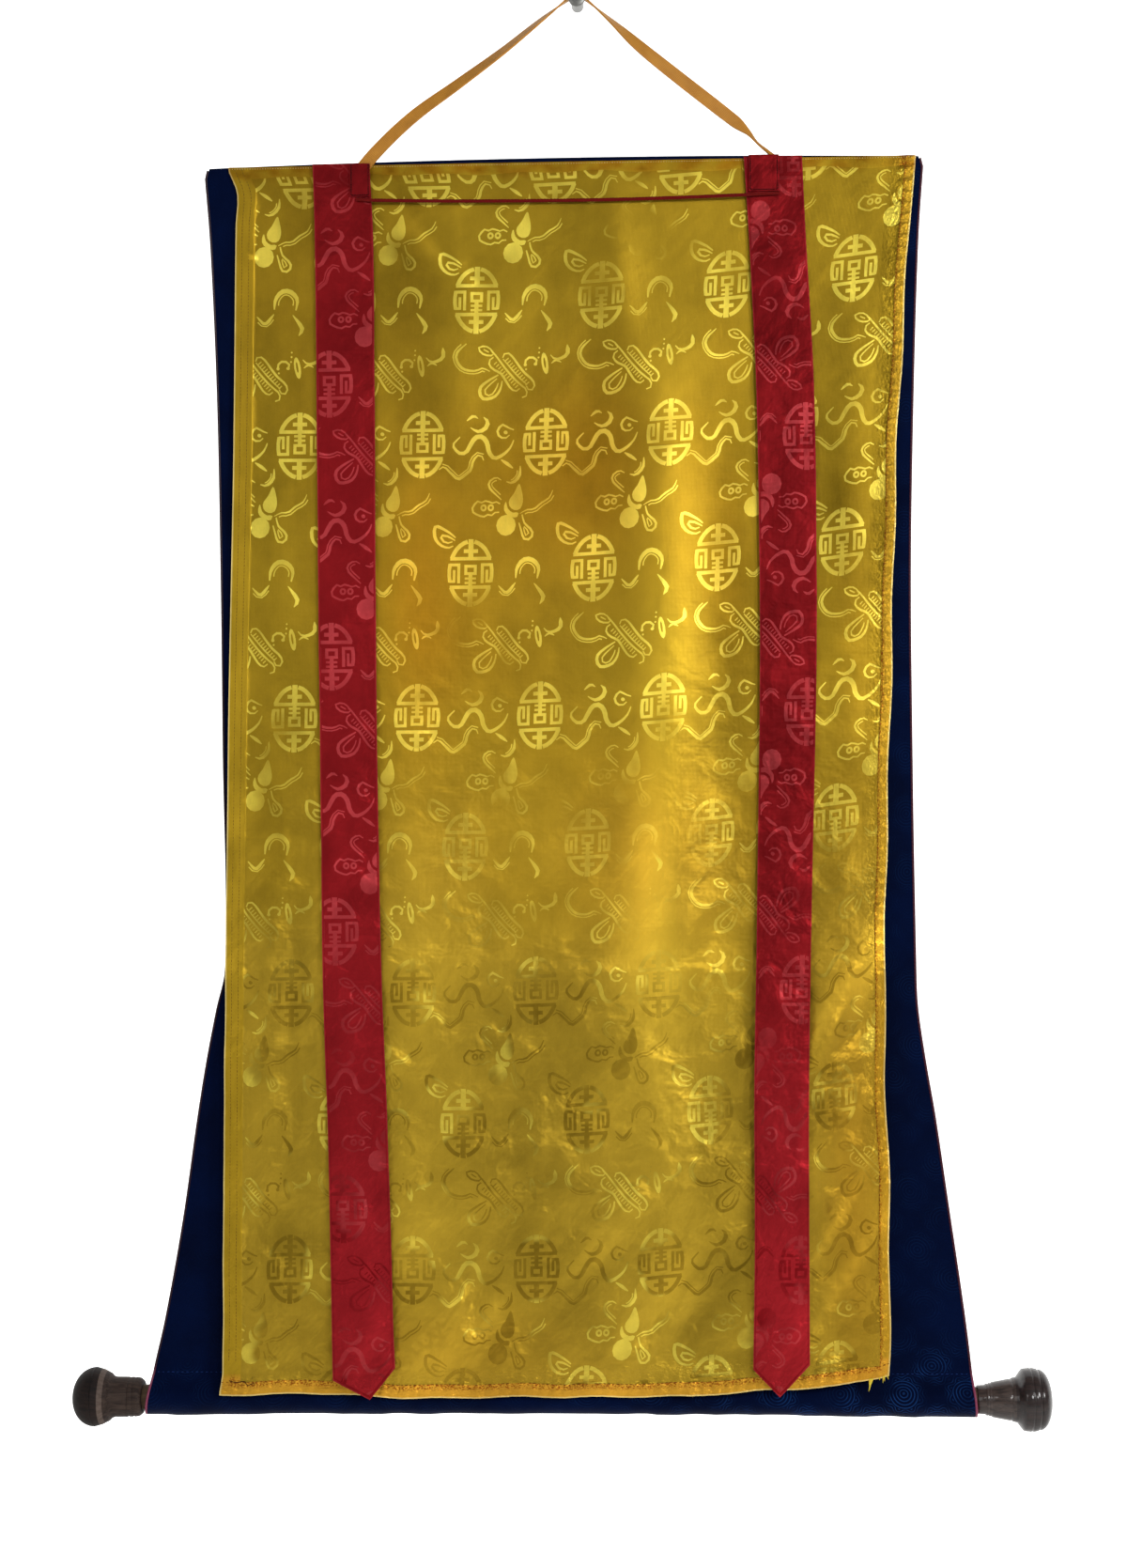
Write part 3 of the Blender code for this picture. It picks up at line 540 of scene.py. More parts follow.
for side, share in ((-1, 0.0), (1, 1.0)):
    beside = side * PIPING_FULL / 2
    path = []
    for row in mount_rows():
        if row[0] == "front" or (row[0] == "sleeve" and row[1] < 0.97):
            x, depth, below = mount_point(row, share)
            path.append(in_place(x + beside, depth, below))
    end = "left" if side < 0 else "right"
    piping = add_tubes("satin_piping_" + end, [path], PIPING_FULL, PIPING_SIDES, piping_satin)
    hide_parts("piping_" + end)
    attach(piping, "root")

# Rod
# A plain round stick of pale softwood, planed by hand and left bare, goes through the sleeve from knob
# to knob. Only a sliver of it can be seen beside the knobs.
LEFT_KNOB_FACE = -296.0
RIGHT_KNOB_FACE = 257.4
KNOB_GAP = 0.3
ROD_SIDES = 40

# Planed softwood, left bare: matt, with fine grain along the rod, and coloured dark as painted shade,
# since it lies in shadow where it shows beside the knobs.
bare_wood, add, shader = new_material("bare_pale_wood", {"Roughness": 0.7, "IOR": 1.45})
where = add("TexCoord").outputs["Object"]
grain_run = add("Mapping", {"Vector": where, "Scale": (12.0, 420.0, 420.0)})
grain = add("TexNoise", {"Vector": grain_run, "Scale": 1.0, "Detail": 6.0, "Distortion": 0.4})
shade = add("Mix", [grain, linear("#332517"), linear("#5E4A33")], **COLOURS)
grain_bump = add("Bump", {"Height": grain, "Strength": 0.5, "Distance": 0.15 * MM})
plug(shader, {"Base Color": shade, "Normal": grain_bump})

# How far along a turned piece a groove is measured against what stands beside it.
GROOVE_REACH = 0.9


def add_turned(name, profile, sides, axis, start, material):
    """A turned piece: its profile of (out, radius) runs along an axis from a start point. Each point keeps
    how deep it lies below what is beside it, in millimetres, where the material paints shade into the
    grooves."""
    axis = Vector(axis)
    across = axis.orthogonal().normalized()
    beside = axis.cross(across)
    shape = bmesh.new()
    loops = []
    for out, radius in profile:
        middle = Vector(start) * MM + axis * (out * MM)
        if radius < 0.001:
            loops.append([shape.verts.new(middle)])
            continue
        loop = []
        for step in range(sides):
            turn = step / sides * math.tau
            outward = across * math.cos(turn) + beside * math.sin(turn)
            loop.append(shape.verts.new(middle + outward * radius * MM))
        loops.append(loop)
    for near, far in zip(loops, loops[1:]):
        for step in range(sides):
            corners = [near[step % len(near)], near[(step + 1) % len(near)],
                       far[(step + 1) % len(far)], far[step % len(far)]]
            shape.faces.new(list(dict.fromkeys(corners)))
    bmesh.ops.recalc_face_normals(shape, faces=shape.faces)
    mesh = bpy.data.meshes.new(name)
    shape.to_mesh(mesh)
    shape.free()
    outs, radii = np.array(profile).T
    depths = []
    for out, radius in profile:
        near = radii[(outs <= out) & (outs > out - GROOVE_REACH)]
        far = radii[(outs >= out) & (outs < out + GROOVE_REACH)]
        depths.append(min(near.max(initial=radius), far.max(initial=radius)) - radius)
    groove = mesh.attributes.new("groove", "FLOAT", "POINT")
    groove.data.foreach_set("value", np.repeat(depths, [len(loop) for loop in loops]).astype(np.float32))
    mesh.shade_smooth()
    mesh.materials.append(material)
    return add_object(name, mesh)


def soften(profile, radius):
    """The profile with each corner cut back on both sides, so that it catches the light as worn edges do."""
    soft = [profile[0]]
    for before, here, after in zip(profile, profile[1:], profile[2:]):
        for other in (before, after):
            span = math.dist(here, other)
            share = min(radius / span, 0.4)
            soft.append((mix(here[0], other[0], share), mix(here[1], other[1], share)))
    soft.append(profile[-1])
    return soft


rod_length = RIGHT_KNOB_FACE - LEFT_KNOB_FACE - 2 * KNOB_GAP
rod_profile = [(0.0, 0.0), (0.0, ROD_RADIUS), (rod_length, ROD_RADIUS), (rod_length, 0.0)]
rod = add_turned("wooden_rod", soften(rod_profile, 0.3), ROD_SIDES, (1.0, 0.0, 0.0),
                 (LEFT_KNOB_FACE + KNOB_GAP, -ROD_DEPTH, -ROD_BELOW), bare_wood)
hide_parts("rod")
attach(rod, "root")

# Knobs
# The two knobs were turned by hand from close-grained hardwood, stained nearly black and varnished. They
# aren't quite a pair. Each is glued on an end of the rod, with its dome outwards.
Turn = namedtuple("Turn", "out radius")
LEFT_KNOB = [Turn(*row) for row in (
    (-1.6, 10.6), (0.6, 12.4), (3.6, 12.8), (4.2, 12.2), (4.8, 12.8), (7, 12.8), (7.6, 12.2), (8.2, 12.9),
    (17, 13), (19.2, 13.9), (20.4, 15.4), (24.2, 17.3), (24.8, 17.7), (30.2, 19.2))]
LEFT_KNOB_LENGTH = 45.4
RIGHT_KNOB = [Turn(*row) for row in (
    (-2, 9.1), (3.4, 9.4), (4.2, 10.5), (5.2, 9.9), (6.2, 10.8), (7, 10.4), (7.8, 11.2), (19.4, 13.4),
    (20, 12.9), (20.7, 13.9), (23.8, 14.5), (25.6, 17), (27.8, 19.8), (32.6, 20.4), (33.2, 19.8),
    (33.8, 20.4), (37.2, 19.8), (37.8, 19.1), (38.4, 19.3))]
RIGHT_KNOB_LENGTH = 46.8
DOME_STEPS = 22
DOME_FULLNESS = 0.9
KNOB_SIDES = 72
KNOB_EDGE = 0.35


def knob_profile(turns, length):
    """A knob's outline from its flat face to the middle of its dome."""
    rim = turns[-1]
    profile = [(turns[0].out, 0.0)] + [(turn.out, turn.radius) for turn in turns]
    profile = soften(profile + [(rim.out + 0.6, rim.radius)], KNOB_EDGE)[:-1]
    for step in range(DOME_STEPS + 1):
        angle = step / DOME_STEPS * math.pi / 2
        profile.append((mix(rim.out, length, math.sin(angle)), rim.radius * math.cos(angle) ** DOME_FULLNESS))
    profile[-1] = (length, 0.0)
    return profile


def varnished_wood(name, zones, roughness, coat):
    """Stained hardwood under a thin uneven coat of varnish: fine streaks along the grain, lathe marks as
    faint rings round the axis, and grooves darkened with painted shade. Each zone is a place along the
    axis, in metres, from which a pair of darker and lighter colours holds."""
    material, add, shader = new_material(name, {
        "Roughness": roughness, "IOR": 1.5, "Specular IOR Level": 0.2, "Coat Weight": coat,
        "Coat Roughness": 0.12})
    where = add("TexCoord").outputs["Object"]
    run = add("Mapping", {"Vector": where, "Scale": (60.0, 520.0, 520.0)})
    grain = add("TexNoise", {"Vector": run, "Scale": 1.0, "Detail": 7.0, "Distortion": 0.8})
    streak = add("MapRange", [grain, 0.35, 0.65])
    along = add("SeparateXYZ", [where]).outputs["X"]
    shade = None
    for start, dark, light in zones:
        wood = add("Mix", [streak, linear(dark), linear(light)], **COLOURS)
        if shade is not None:
            step = add("MapRange", [along, start, start + 0.4 * MM])
            wood = add("Mix", [step, shade, wood], **COLOURS)
        shade = wood
    # Painted shade: the grooves are darkened by how deep they lie.
    groove = add("Attribute", attribute_name="groove").outputs["Fac"]
    groove_shade = add("MapRange", [groove, 0.08, 0.4, 0.0, 0.92])
    shade = add("Mix", [groove_shade, shade, linear("#0C0807")], **COLOURS)
    lathe = add("TexWave", {"Vector": where, "Scale": 420.0, "Distortion": 1.2, "Detail": 2.0},
                bands_direction="X")
    marks = add("Math", [lathe.outputs["Fac"], 0.35, grain], operation="MULTIPLY_ADD")
    bump = add("Bump", {"Height": marks, "Strength": 0.35, "Distance": 0.12 * MM})
    plug(shader, {"Base Color": shade, "Normal": bump})
    return material


left_wood = varnished_wood("dark_varnished_wood", roughness=0.68, coat=0.0, zones=(
    (-0.36, "#0C0605", "#211511"), (-0.3223, "#4B3E37", "#5F5149"), (-0.3190, "#221713", "#3B2E27")))
right_wood = varnished_wood("dark_glossy_wood", roughness=0.5, coat=0.6, zones=(
    (0.25, "#261C19", "#443630"), (0.2794, "#130B0A", "#2B1C19")))
Knob = namedtuple("Knob", "name node turns length face side wood")
KNOBS = (
    Knob("turned_knob_left", "knob_left", LEFT_KNOB, LEFT_KNOB_LENGTH, LEFT_KNOB_FACE, -1.0, left_wood),
    Knob("turned_knob_right", "knob_right", RIGHT_KNOB, RIGHT_KNOB_LENGTH, RIGHT_KNOB_FACE, 1.0, right_wood),
)
for knob in KNOBS:
    piece = add_turned(knob.name, knob_profile(knob.turns, knob.length), KNOB_SIDES, (knob.side, 0.0, 0.0),
                       (knob.face, -ROD_DEPTH, -ROD_BELOW), knob.wood)
    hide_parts(knob.node)
    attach(piece, "root")

# Woven figures
# The gold and the red silk are the same damask: rows of oval fret medallions, every second row turned over,
# with a double gourd, a cloud, a pair of clappers, ribbons and sprays between them.
REPEAT_WIDE = 82.9
REPEAT_TALL = 181.2
SECOND_ROW_ACROSS = -34.0
SECOND_ROW_DOWN = 95.7
THREAD_STEP = 2.8
MEDALLION_WIDE = 14.4
MEDALLION_TALL = 21.0

# A line of a figure: its points from the middle of its medallion, its width at the ends and at its widest,
# and the share of its run at which it is widest. A companion is a thin line beside it, at that distance.
Line = namedtuple("Line", "points ends widest at companion", defaults=(0.5, 0.0))
FIRST_ROW_LINES = (
    Line(((-10.5, -23.5), (-15, -27), (-24, -31), (-24.5, -24), (-21, -19), (-15.5, -16.8),
          (-12, -18)), 0.8, 2.3),
    Line(((-10.8, -21.6), (-16, -24.5), (-20.5, -24.8), (-19, -21.4), (-15.5, -20),
          (-12.6, -20.8)), 0.7, 1.7),
    Line(((19, -45.5), (16, -47), (13, -46), (10, -48), (7, -46.5), (4, -47.5), (1.5, -45), (0.3, -42.5),
          (1.5, -39.5), (4.5, -38.5), (7.5, -37), (10.5, -38.5), (13.5, -38), (16, -40),
          (18.5, -40)), 0.9, 1.4),
    Line(((19.4, -61.3), (15.8, -63.1), (11.2, -59.9), (11.9, -56), (15.5, -52.3), (19.8, -48.2)), 0.6, 1.5,
         0.5, -2.0),
    Line(((32.6, -38.7), (37.2, -41), (41.9, -41.3), (46.6, -45), (52, -48.3), (54.3, -53.2)), 0.5, 1.3,
         0.5, 2.0),
    Line(((34, -38), (35.6, -32.4), (40, -28), (41.5, -24.5), (38.7, -21.3), (35.4, -22.1), (34, -26.1),
          (32, -32.6)), 0.9, 1.7),
    Line(((35.4, -30), (38.3, -26.8), (38.4, -24.4), (36.8, -24), (35.8, -26.5), (35.2, -29.4)), 0.7, 1.1),
    Line(((30.6, 4), (31.3, -2.5), (34.8, -7.3), (38.6, -8.4), (43, -6.6), (46, -2), (45, 4.8)), 0.9, 3.2,
         0.5, 2.6),
    Line(((19, 8.7), (24.5, 13.6), (30.4, 7.1)), 0.6, 2.4, 0.6, 2.0),
    Line(((43, 7.9), (47, 13), (49.6, 17.6), (47.2, 21.8)), 0.5, 2.9, 0.7),
    Line(((-6, 29), (-11.7, 34.3), (-12.8, 38.6), (-10, 43.9), (-6.4, 46.4), (0.7, 47.1), (5, 45.3),
          (10, 47.5)), 0.6, 1.9, 0.3, 1.9),
    Line(((10, 32.6), (6.4, 30.6), (2.1, 31.9), (4.5, 35.4), (9, 37), (12.3, 36.4), (10.4, 33.4)), 0.9, 1.3),
    Line(((5.5, 32.8), (9, 34.8)), 0.7, 0.9),
    Line(((9.6, 32.2), (14.2, 37.7), (20.5, 46), (27.2, 53.6), (31.3, 57.3), (34.8, 60.6), (35, 64.4),
          (32, 65.6)), 0.9, 1.4),
    Line(((18.4, 38.6), (19, 36.4), (21.8, 35.6), (25, 38.3), (29.5, 44.5), (33.5, 49.4), (38, 53.4),
          (40.2, 57.3), (38.5, 60.8), (35.6, 60), (34.6, 57.8)), 0.9, 1.6),
    Line(((18.6, 39.4), (22, 43.4), (27, 49.2), (31.5, 53.8), (35.2, 57.2)), 0.7, 1.0),
    Line(((12.2, 38.2), (9.8, 40), (9.6, 43.3), (13, 46.6), (17.4, 49), (20.8, 54), (24.2, 59), (27.6, 61.2),
          (30.4, 59.4)), 0.9, 1.6),
    Line(((15.7, 50), (8.5, 54.2), (3.8, 58.5), (4.3, 64), (7, 66), (14, 64.2), (17.6, 59), (18.4, 54)),
         0.9, 2.2),
    Line(((15, 52.4), (9.6, 57), (7, 60.2), (8, 63.2), (11.4, 63.2), (14.6, 59), (15.8, 55.4)), 0.7, 1.1),
    Line(((33.4, 43.8), (34.2, 40.2), (37.7, 38.8), (41.2, 41.2), (40.6, 43.8)), 1.3, 1.6),
    Line(((50.2, 37.9), (53.4, 40.8), (58.2, 40.2), (61.6, 37.6), (61.2, 31.6)), 0.6, 2.7, 0.85),
    Line(((51, 43.6), (54, 41.5), (57.5, 43.2)), 0.5, 1.6),
)
SECOND_ROW_LINES = (
    Line(((-53.4, -15.3), (-49.1, -18.5), (-45.9, -16.9)), 0.5, 2.1),
    Line(((-42.3, -17.8), (-39.4, -14.6), (-40.9, -10.3), (-45.9, -8.2), (-50.9, -10.9)), 0.5, 3.0, 0.35),
    Line(((-21.7, -8.9), (-25.6, -10.4), (-29.3, -12.5), (-32.7, -8.6), (-31, -4.4), (-26.9, -3.7),
          (-24.6, -5.5)), 0.7, 1.7),
    Line(((-57.7, -4.6), (-62.2, 0.7), (-58, 6), (-53.7, 5.6), (-50.3, 0), (-47.2, -4.3), (-43, -4.7),
          (-39.6, -0.7), (-38, 5.6), (-34.4, 9.6), (-28.8, 7.5), (-23.8, 2.8), (-21.7, -2.1)), 0.8, 3.2),
    Line(((-29.9, 10.7), (-26, 13.3), (-21.7, 16.6)), 0.7, 2.3),
    Line(((-16.9, 15.2), (-17.2, 21.4), (-21.8, 26.2), (-26, 25.4)), 0.6, 2.3, 0.5, 1.9),
    Line(((11.4, 16.7), (14.6, 14.9), (19.6, 19.2), (24.6, 23.1), (29.5, 19.9), (32.7, 17.1), (34.2, 11.4),
          (37.4, 7.5), (40.2, 8.3), (41.3, 10.9)), 0.7, 2.1, 0.5, -1.9),
)
Blob = namedtuple("Blob", "x y wide tall turn")
FIRST_ROW_BLOBS = [Blob(*row) for row in (
    (23.3, -31.2, 6.6, 7, 0), (34.2, 46.8, 0.7, 0.7, 0), (42.7, 33, 0.6, 0.6, 0), (42.6, 36, 0.65, 0.65, 0),
    (42.3, 39.3, 0.65, 0.65, 0), (33.6, 43.8, 1.1, 1.1, 0), (40.4, 43.6, 1.2, 1.1, 0),
    (7.9, -43.1, 2.2, 2.4, 0), (12.8, -43.1, 2.2, 2.4, 0), (46.7, 43.4, 2.2, 7.4, -10))]
FIRST_ROW_HOLES = [Blob(*row) for row in (
    (7.9, -43.1, 0.9, 1, 0), (12.8, -43.1, 0.9, 1, 0), (46.5, 43, 0.7, 3.8, -10))]
SECOND_ROW_BLOBS = (Blob(x=-27.2, y=-7.3, wide=1.4, tall=1.2, turn=30),)
GOURD_TOP = ((31.6, -58.5), (33.6, -53), (34.4, -46.5), (32.6, -41.8), (29, -41), (25.6, -43.4), (25, -47.5),
             (28.4, -52.5))
GOURD_WAIST = ((22.9, -47), (24.4, -42.3), (27.6, -39.5), (31.6, -39.4), (30.4, -36.2), (27, -36.6),
               (23.4, -38.6), (21.6, -42.4))
CLAPPER_RUNGS = 11
RUNG_RUNS = (((21.2, 39.9), (35.3, 56.3)), ((13.6, 42.2), (28.2, 58.0)))
RUNG_REACH = (1.5, -1.25)
RUNG_WIDE = 0.75


def run_length(points):
    """How far along a run each of its points lies."""
    points = np.asarray(points, float)
    return np.concatenate(([0.0], np.cumsum(np.linalg.norm(np.diff(points, axis=0), axis=1))))


def smooth_run(points, places):
    """The smooth curve through the points, read at these distances along them."""
    points = np.asarray(points, float)
    reach = run_length(points)
    return np.stack([smooth_values(reach, column, places) for column in points.T], axis=1)


def leftwards(run):
    """A unit step to the left of a run at each of its points."""
    ahead = np.gradient(run, axis=0)
    side = np.stack((-ahead[:, 1], ahead[:, 0]), axis=1)
    return side / np.maximum(np.linalg.norm(side, axis=1, keepdims=True), 1e-9)


def broad_line(line):
    """The outlines of a line of a figure and of its companion."""
    length = run_length(line.points)[-1]
    count = max(4, round(length / THREAD_STEP)) + 1
    share = np.linspace(0.0, 1.0, count)
    run = smooth_run(line.points, share * length)
    swell = np.where(share < line.at, share / line.at / 2, 0.5 + (share - line.at) / (1.0 - line.at) / 2)
    half = (line.ends + (line.widest - line.ends) * np.sin(math.pi * swell)) / 2
    side = leftwards(run)
    outlines = [np.concatenate((run + side * half[:, None], (run - side * half[:, None])[::-1]))]
    if line.companion:
        near = run[1:-1] + side[1:-1] * line.companion
        thin = side[1:-1] * 0.4
        outlines.append(np.concatenate((near + thin, (near - thin)[::-1])))
    return outlines


def bar(start, end, width):
    """A straight bar as an outline."""
    run = np.array((start, end), float)
    side = leftwards(run) * width / 2
    return np.concatenate((run + side, (run - side)[::-1]))


def oval(blob, count=12):
    """An oval as an outline."""
    turn = math.radians(blob.turn)
    angles = np.arange(count) / count * math.tau
    x = blob.wide * np.cos(angles)
    y = blob.tall * np.sin(angles)
    return np.stack((blob.x + x * math.cos(turn) - y * math.sin(turn),
                     blob.y + x * math.sin(turn) + y * math.cos(turn)), axis=1)


def closed_run(points):
    """A closed outline drawn smoothly through a few points."""
    ring = list(points) + list(points[:3])
    reach = run_length(ring)
    places = np.arange(reach[1], reach[len(points) + 1], THREAD_STEP * 0.8)
    return smooth_run(ring, places)


def medallion_arc(start, end, width):
    """A stretch of the medallion's oval border, between two angles in degrees."""
    angles = np.radians(np.linspace(start, end, max(3, round(abs(end - start) / 9))))
    run = np.stack((MEDALLION_WIDE * np.cos(angles), MEDALLION_TALL * np.sin(angles)), axis=1)
    side = leftwards(run) * width / 2
    return np.concatenate((run + side, (run - side)[::-1]))


def medallion():
    """The oval fret medallion of the first row. Returns its outlines and holes."""
    outlines = [bar((-4.2, -2.0), (4.2, -2.0), 6.8), bar((0, 1.2), (0, 9), 2.6),
                bar((-3.8, 3.7), (3.8, 3.7), 1.5), bar((-3.8, 6.6), (3.8, 6.6), 1.5)]
    for up in (-1, 1):
        outlines += [bar((-13.8, up * 9.5), (13.8, up * 9.5), 2.3), bar((0, up * 9), (0, up * 22.4), 3.5),
                     bar((-4.8, up * 14.5), (4.8, up * 14.5), 2.6)]
        for side in (-1, 1):
            middle = 90 - side * 90
            turn = side * up
            outlines.append(medallion_arc(middle + turn * 27, middle + turn * 81, 2.8))
    for side in (-1, 1):
        middle = 90 - side * 90
        outlines += [medallion_arc(middle - 17, middle + 17, 2.4),
                     bar((side * 6.9, -5.4), (side * 14.2, -5.4), 2.0),
                     bar((side * 7.9, -6.2), (side * 7.9, 6.8), 2.0),
                     bar((side * 11.0, -2.0), (side * 11.0, 6.4), 1.8),
                     bar((side * 10.6, 5.6), (side * 14.2, 5.6), 1.8)]
    return outlines, [bar((-2.2, -2.0), (2.2, -2.0), 3.0)]


def clapper_rungs():
    """The short rungs inside the two clappers."""
    rungs = []
    for (start, end), reach in zip(RUNG_RUNS, RUNG_REACH):
        run = np.linspace(start, end, CLAPPER_RUNGS)
        side = leftwards(run) * reach
        rungs += [bar(point - step, point + step, RUNG_WIDE) for point, step in zip(run, side)]
    return rungs


def repeat_outlines():
    """Outlines and holes of both rows of one repeat, measured from the first row's medallion. The second
    row's medallion is the same, upside down."""
    fret, fret_holes = medallion()
    first = [outline for line in FIRST_ROW_LINES for outline in broad_line(line)]
    first += [oval(blob) for blob in FIRST_ROW_BLOBS]
    first += [closed_run(GOURD_TOP), closed_run(GOURD_WAIST)] + clapper_rungs() + fret
    second = [outline for line in SECOND_ROW_LINES for outline in broad_line(line)]
    over = np.array((1.0, -1.0))
    second += [oval(blob) for blob in SECOND_ROW_BLOBS] + [outline * over for outline in fret]
    shift = np.array((SECOND_ROW_ACROSS, SECOND_ROW_DOWN))
    holes = [oval(blob, 8) for blob in FIRST_ROW_HOLES] + fret_holes
    holes += [hole * over + shift for hole in fret_holes]
    return first + [outline + shift for outline in second], holes


def lay_figures(width, height, first_across, first_down, turned=False):
    """The figures that fall on a cloth of this size, with a medallion of the first row at a given place."""
    laid = []
    turn = -1.0 if turned else 1.0
    for outlines in repeat_outlines():
        found = []
        for column in range(-2, int(width / REPEAT_WIDE) + 3):
            for row in range(-2, int(height / REPEAT_TALL) + 3):
                corner = np.array((first_across + column * REPEAT_WIDE, first_down + row * REPEAT_TALL))
                for outline in outlines:
                    put = corner + outline * turn
                    low = put.min(axis=0)
                    high = put.max(axis=0)
                    if high[0] > 0.0 and low[0] < width and high[1] > 0.0 and low[1] < height:
                        found.append(put)
        laid.append(found)
    return laid


# The cut keeps only what lies inside the loops, and joins points that are closer than the tolerance.
INSIDE_LOOPS = 1
CUT_TOLERANCE = 0.0005


def weave_figures(lattice, field, outlines, holes, closer=()):
    """Triangles of a damask cloth, cut along the edges of its figures. The lattice is rows of flat places
    that cover the cloth, with some closer places where it puckers, and the field is the stretch inside its
    hems. Returns the flat points, the triangles, and for each triangle whether it is figure and whether it
    is field."""
    rows, columns = lattice.shape[:2]
    index = np.arange(rows * columns).reshape(rows, columns)
    border = [*index[0], *index[1:, -1], *index[-1, -2::-1], *index[-2:0:-1, 0]]
    points = [Vector(place) for place in lattice.reshape(-1, 2).tolist() + list(closer)]
    loops = [[int(i) for i in border]]
    for outline in [field, *outlines, *holes]:
        x, y = np.asarray(outline, float).T
        if np.sum(x * np.roll(y, -1) - y * np.roll(x, -1)) < 0.0:
            outline = outline[::-1]
        loops.append(list(range(len(points), len(points) + len(outline))))
        points += [Vector(place) for place in np.asarray(outline, float).tolist()]
    flat, _, triangles, _, _, sources = delaunay_2d_cdt(
        points, [], loops, INSIDE_LOOPS, CUT_TOLERANCE, True)
    first_hole = 2 + len(outlines)
    kept = [(corners[::-1], source) for corners, source in zip(triangles, sources) if 0 in source]
    figure = [float(1 in source and any(2 <= i < first_hole for i in source)
                    and not any(i >= first_hole for i in source)) for _, source in kept]
    inside = [float(1 in source) for _, source in kept]
    faces = np.array([corners for corners, _ in kept])
    used, faces = np.unique(faces, return_inverse=True)
    flat = np.array([tuple(place) for place in flat])[used]
    return flat, faces.reshape(-1, 3), np.array(figure), np.array(inside)


def facing_of(place, flat):
    """Which way a cloth faces at its flat places, from its placing function."""
    step = 0.4
    across = place(flat[:, 0] + step, flat[:, 1]) - place(flat[:, 0] - step, flat[:, 1])
    down = place(flat[:, 0], flat[:, 1] + step) - place(flat[:, 0], flat[:, 1] - step)
    facing = np.cross(down, across)
    return facing / np.linalg.norm(facing, axis=1, keepdims=True)


# Cover
# A curtain of gold silk damask, sewn on along the top edge of the mount and let down over its front.
# Its sides and foot are turned in narrow hems, and it keeps the creases of being rolled and gathered up.
COVER_THICK = 1.0
COVER_TOP = 106.0
COVER_TOP_DEPTH = 9.5
COVER_FOOT_DEPTH = 35.8
COVER_FOOT_BELOW = 919.0
COVER_WIDE = 445.0
COVER_COLUMNS = 78
COVER_ROWS = 128
LEFT_HEM = 12.6
RIGHT_HEM = 6.8
FOOT_HEM = 8.6
TOP_HEM = 7.0
HEM_RISE = 0.3
HEM_STEP = 0.8
FIRST_MEDALLION = (161.7, 92.0)
BOW_RISE = 18.0
BOW_FROM = 164.0
BOW_RUN = 250.0
COVER_SIDES = [Sides(*row) for row in (
    (108, -234, 223), (124, -228, 221), (145, -229, 219), (231, -230, 213), (315, -231, 208),
    (458, -234, 203), (600, -236, 198), (696, -237, 197), (792, -238, 198), (904, -239, 197),
    (919, -241, 195))]
Foot = namedtuple("Foot", "x below")
COVER_FOOT = [Foot(*row) for row in (
    (-241, 919), (-187, 918), (-121, 920.5), (69, 919), (111, 915.5), (166, 911.5), (197, 905))]
FOLD_HEAD_FADE = 0.3
FOLD_FOOT_FADE = 0.25
Fold = namedtuple("Fold", "head_x head_below foot_x foot_below width height")
COVER_FOLDS = [Fold(*row) for row in (
    (52, 190, 64, 700, 26, 6.5), (-62, 240, -52, 760, 50, -2.4), (96, 260, 92, 720, 16, -1.6),
    (-95, 128, -80, 330, 18, 1.5), (14, 128, 44, 300, 16, 1.6), (184, 560, 112, 925, 20, 4.2),
    (196, 640, 158, 925, 16, -3), (205, 720, 188, 930, 15, 4), (66, 690, 8, 930, 24, 3.6),
    (-60, 740, -112, 935, 22, 3), (-205, 180, -214, 860, 20, 2.2), (-186, 520, -196, 930, 12, -1.8),
    (176, 170, 182, 560, 18, 2.4))]
CREASE_HEIGHTS = (643, 696, 760, 783, 894)
CREASE_WIDTH = 14.0
CREASE_RISE = 0.9

# Finer marks that only the look of the silk needs: pulls under the cord, sharp rolling creases, a pressed
# line down the middle and drag lines in the lower corners.
FINE_FOLDS = [Fold(*row) for row in (
    (-124, 118, -62, 205, 7, 1), (-92, 112, -70, 240, 9, 0.6), (20, 112, 34, 220, 9, 0.6),
    (-31.5, 590, -30, 895, 0.9, 0.18), (-27.5, 590, -26, 895, 0.9, 0.18), (186, 690, 126, 915, 2.6, 0.9),
    (200, 640, 110, 905, 3.2, 0.8), (178, 720, 136, 900, 3, -0.7), (-58, 790, -106, 925, 5, 1),
    (70, 780, -4, 925, 6, 1.1), (118, 790, 14, 922, 9, 2.4), (44, 765, -16, 860, 7, 1.6),
    (-62, 832, -124, 912, 5, 1.8), (197, 600, 146, 715, 8, 2.6), (186, 768, 148, 836, 3, 1))]
SHARP_CREASES = (641, 645, 697, 759, 781, 786, 893)
SHARP_CREASE_WIDTH = 1.6
SHARP_CREASE_RISE = 0.22
# The silk is slacker and more crumpled towards its foot, and lies flatter under the ribbons.
SLACK_FROM = 380.0
SLACK_RUN = 400.0
PRESSED_BY_RIBBONS = 0.65
RIBBON_MIDDLES = (-150.0, 132.0)
RIBBON_HALF = 26.0
DRAG_COUNT = 46
drags = np.random.default_rng(17)
DRAG_LINES = []
for _ in range(DRAG_COUNT):
    drag_x = drags.uniform(-225.0, 200.0)
    drag_below = drags.uniform(560.0, 905.0)
    lean = drags.uniform(0.25, 1.3) if drag_x > -60.0 else drags.uniform(-0.2, 0.9)
    reach = drags.uniform(30.0, 75.0)
    DRAG_LINES.append(Fold(head_x=drag_x + lean * reach, head_below=drag_below - reach,
                           foot_x=drag_x - lean * reach, foot_below=drag_below + reach,
                           width=drags.uniform(5.0, 11.0), height=drags.uniform(-0.8, 1.0)))


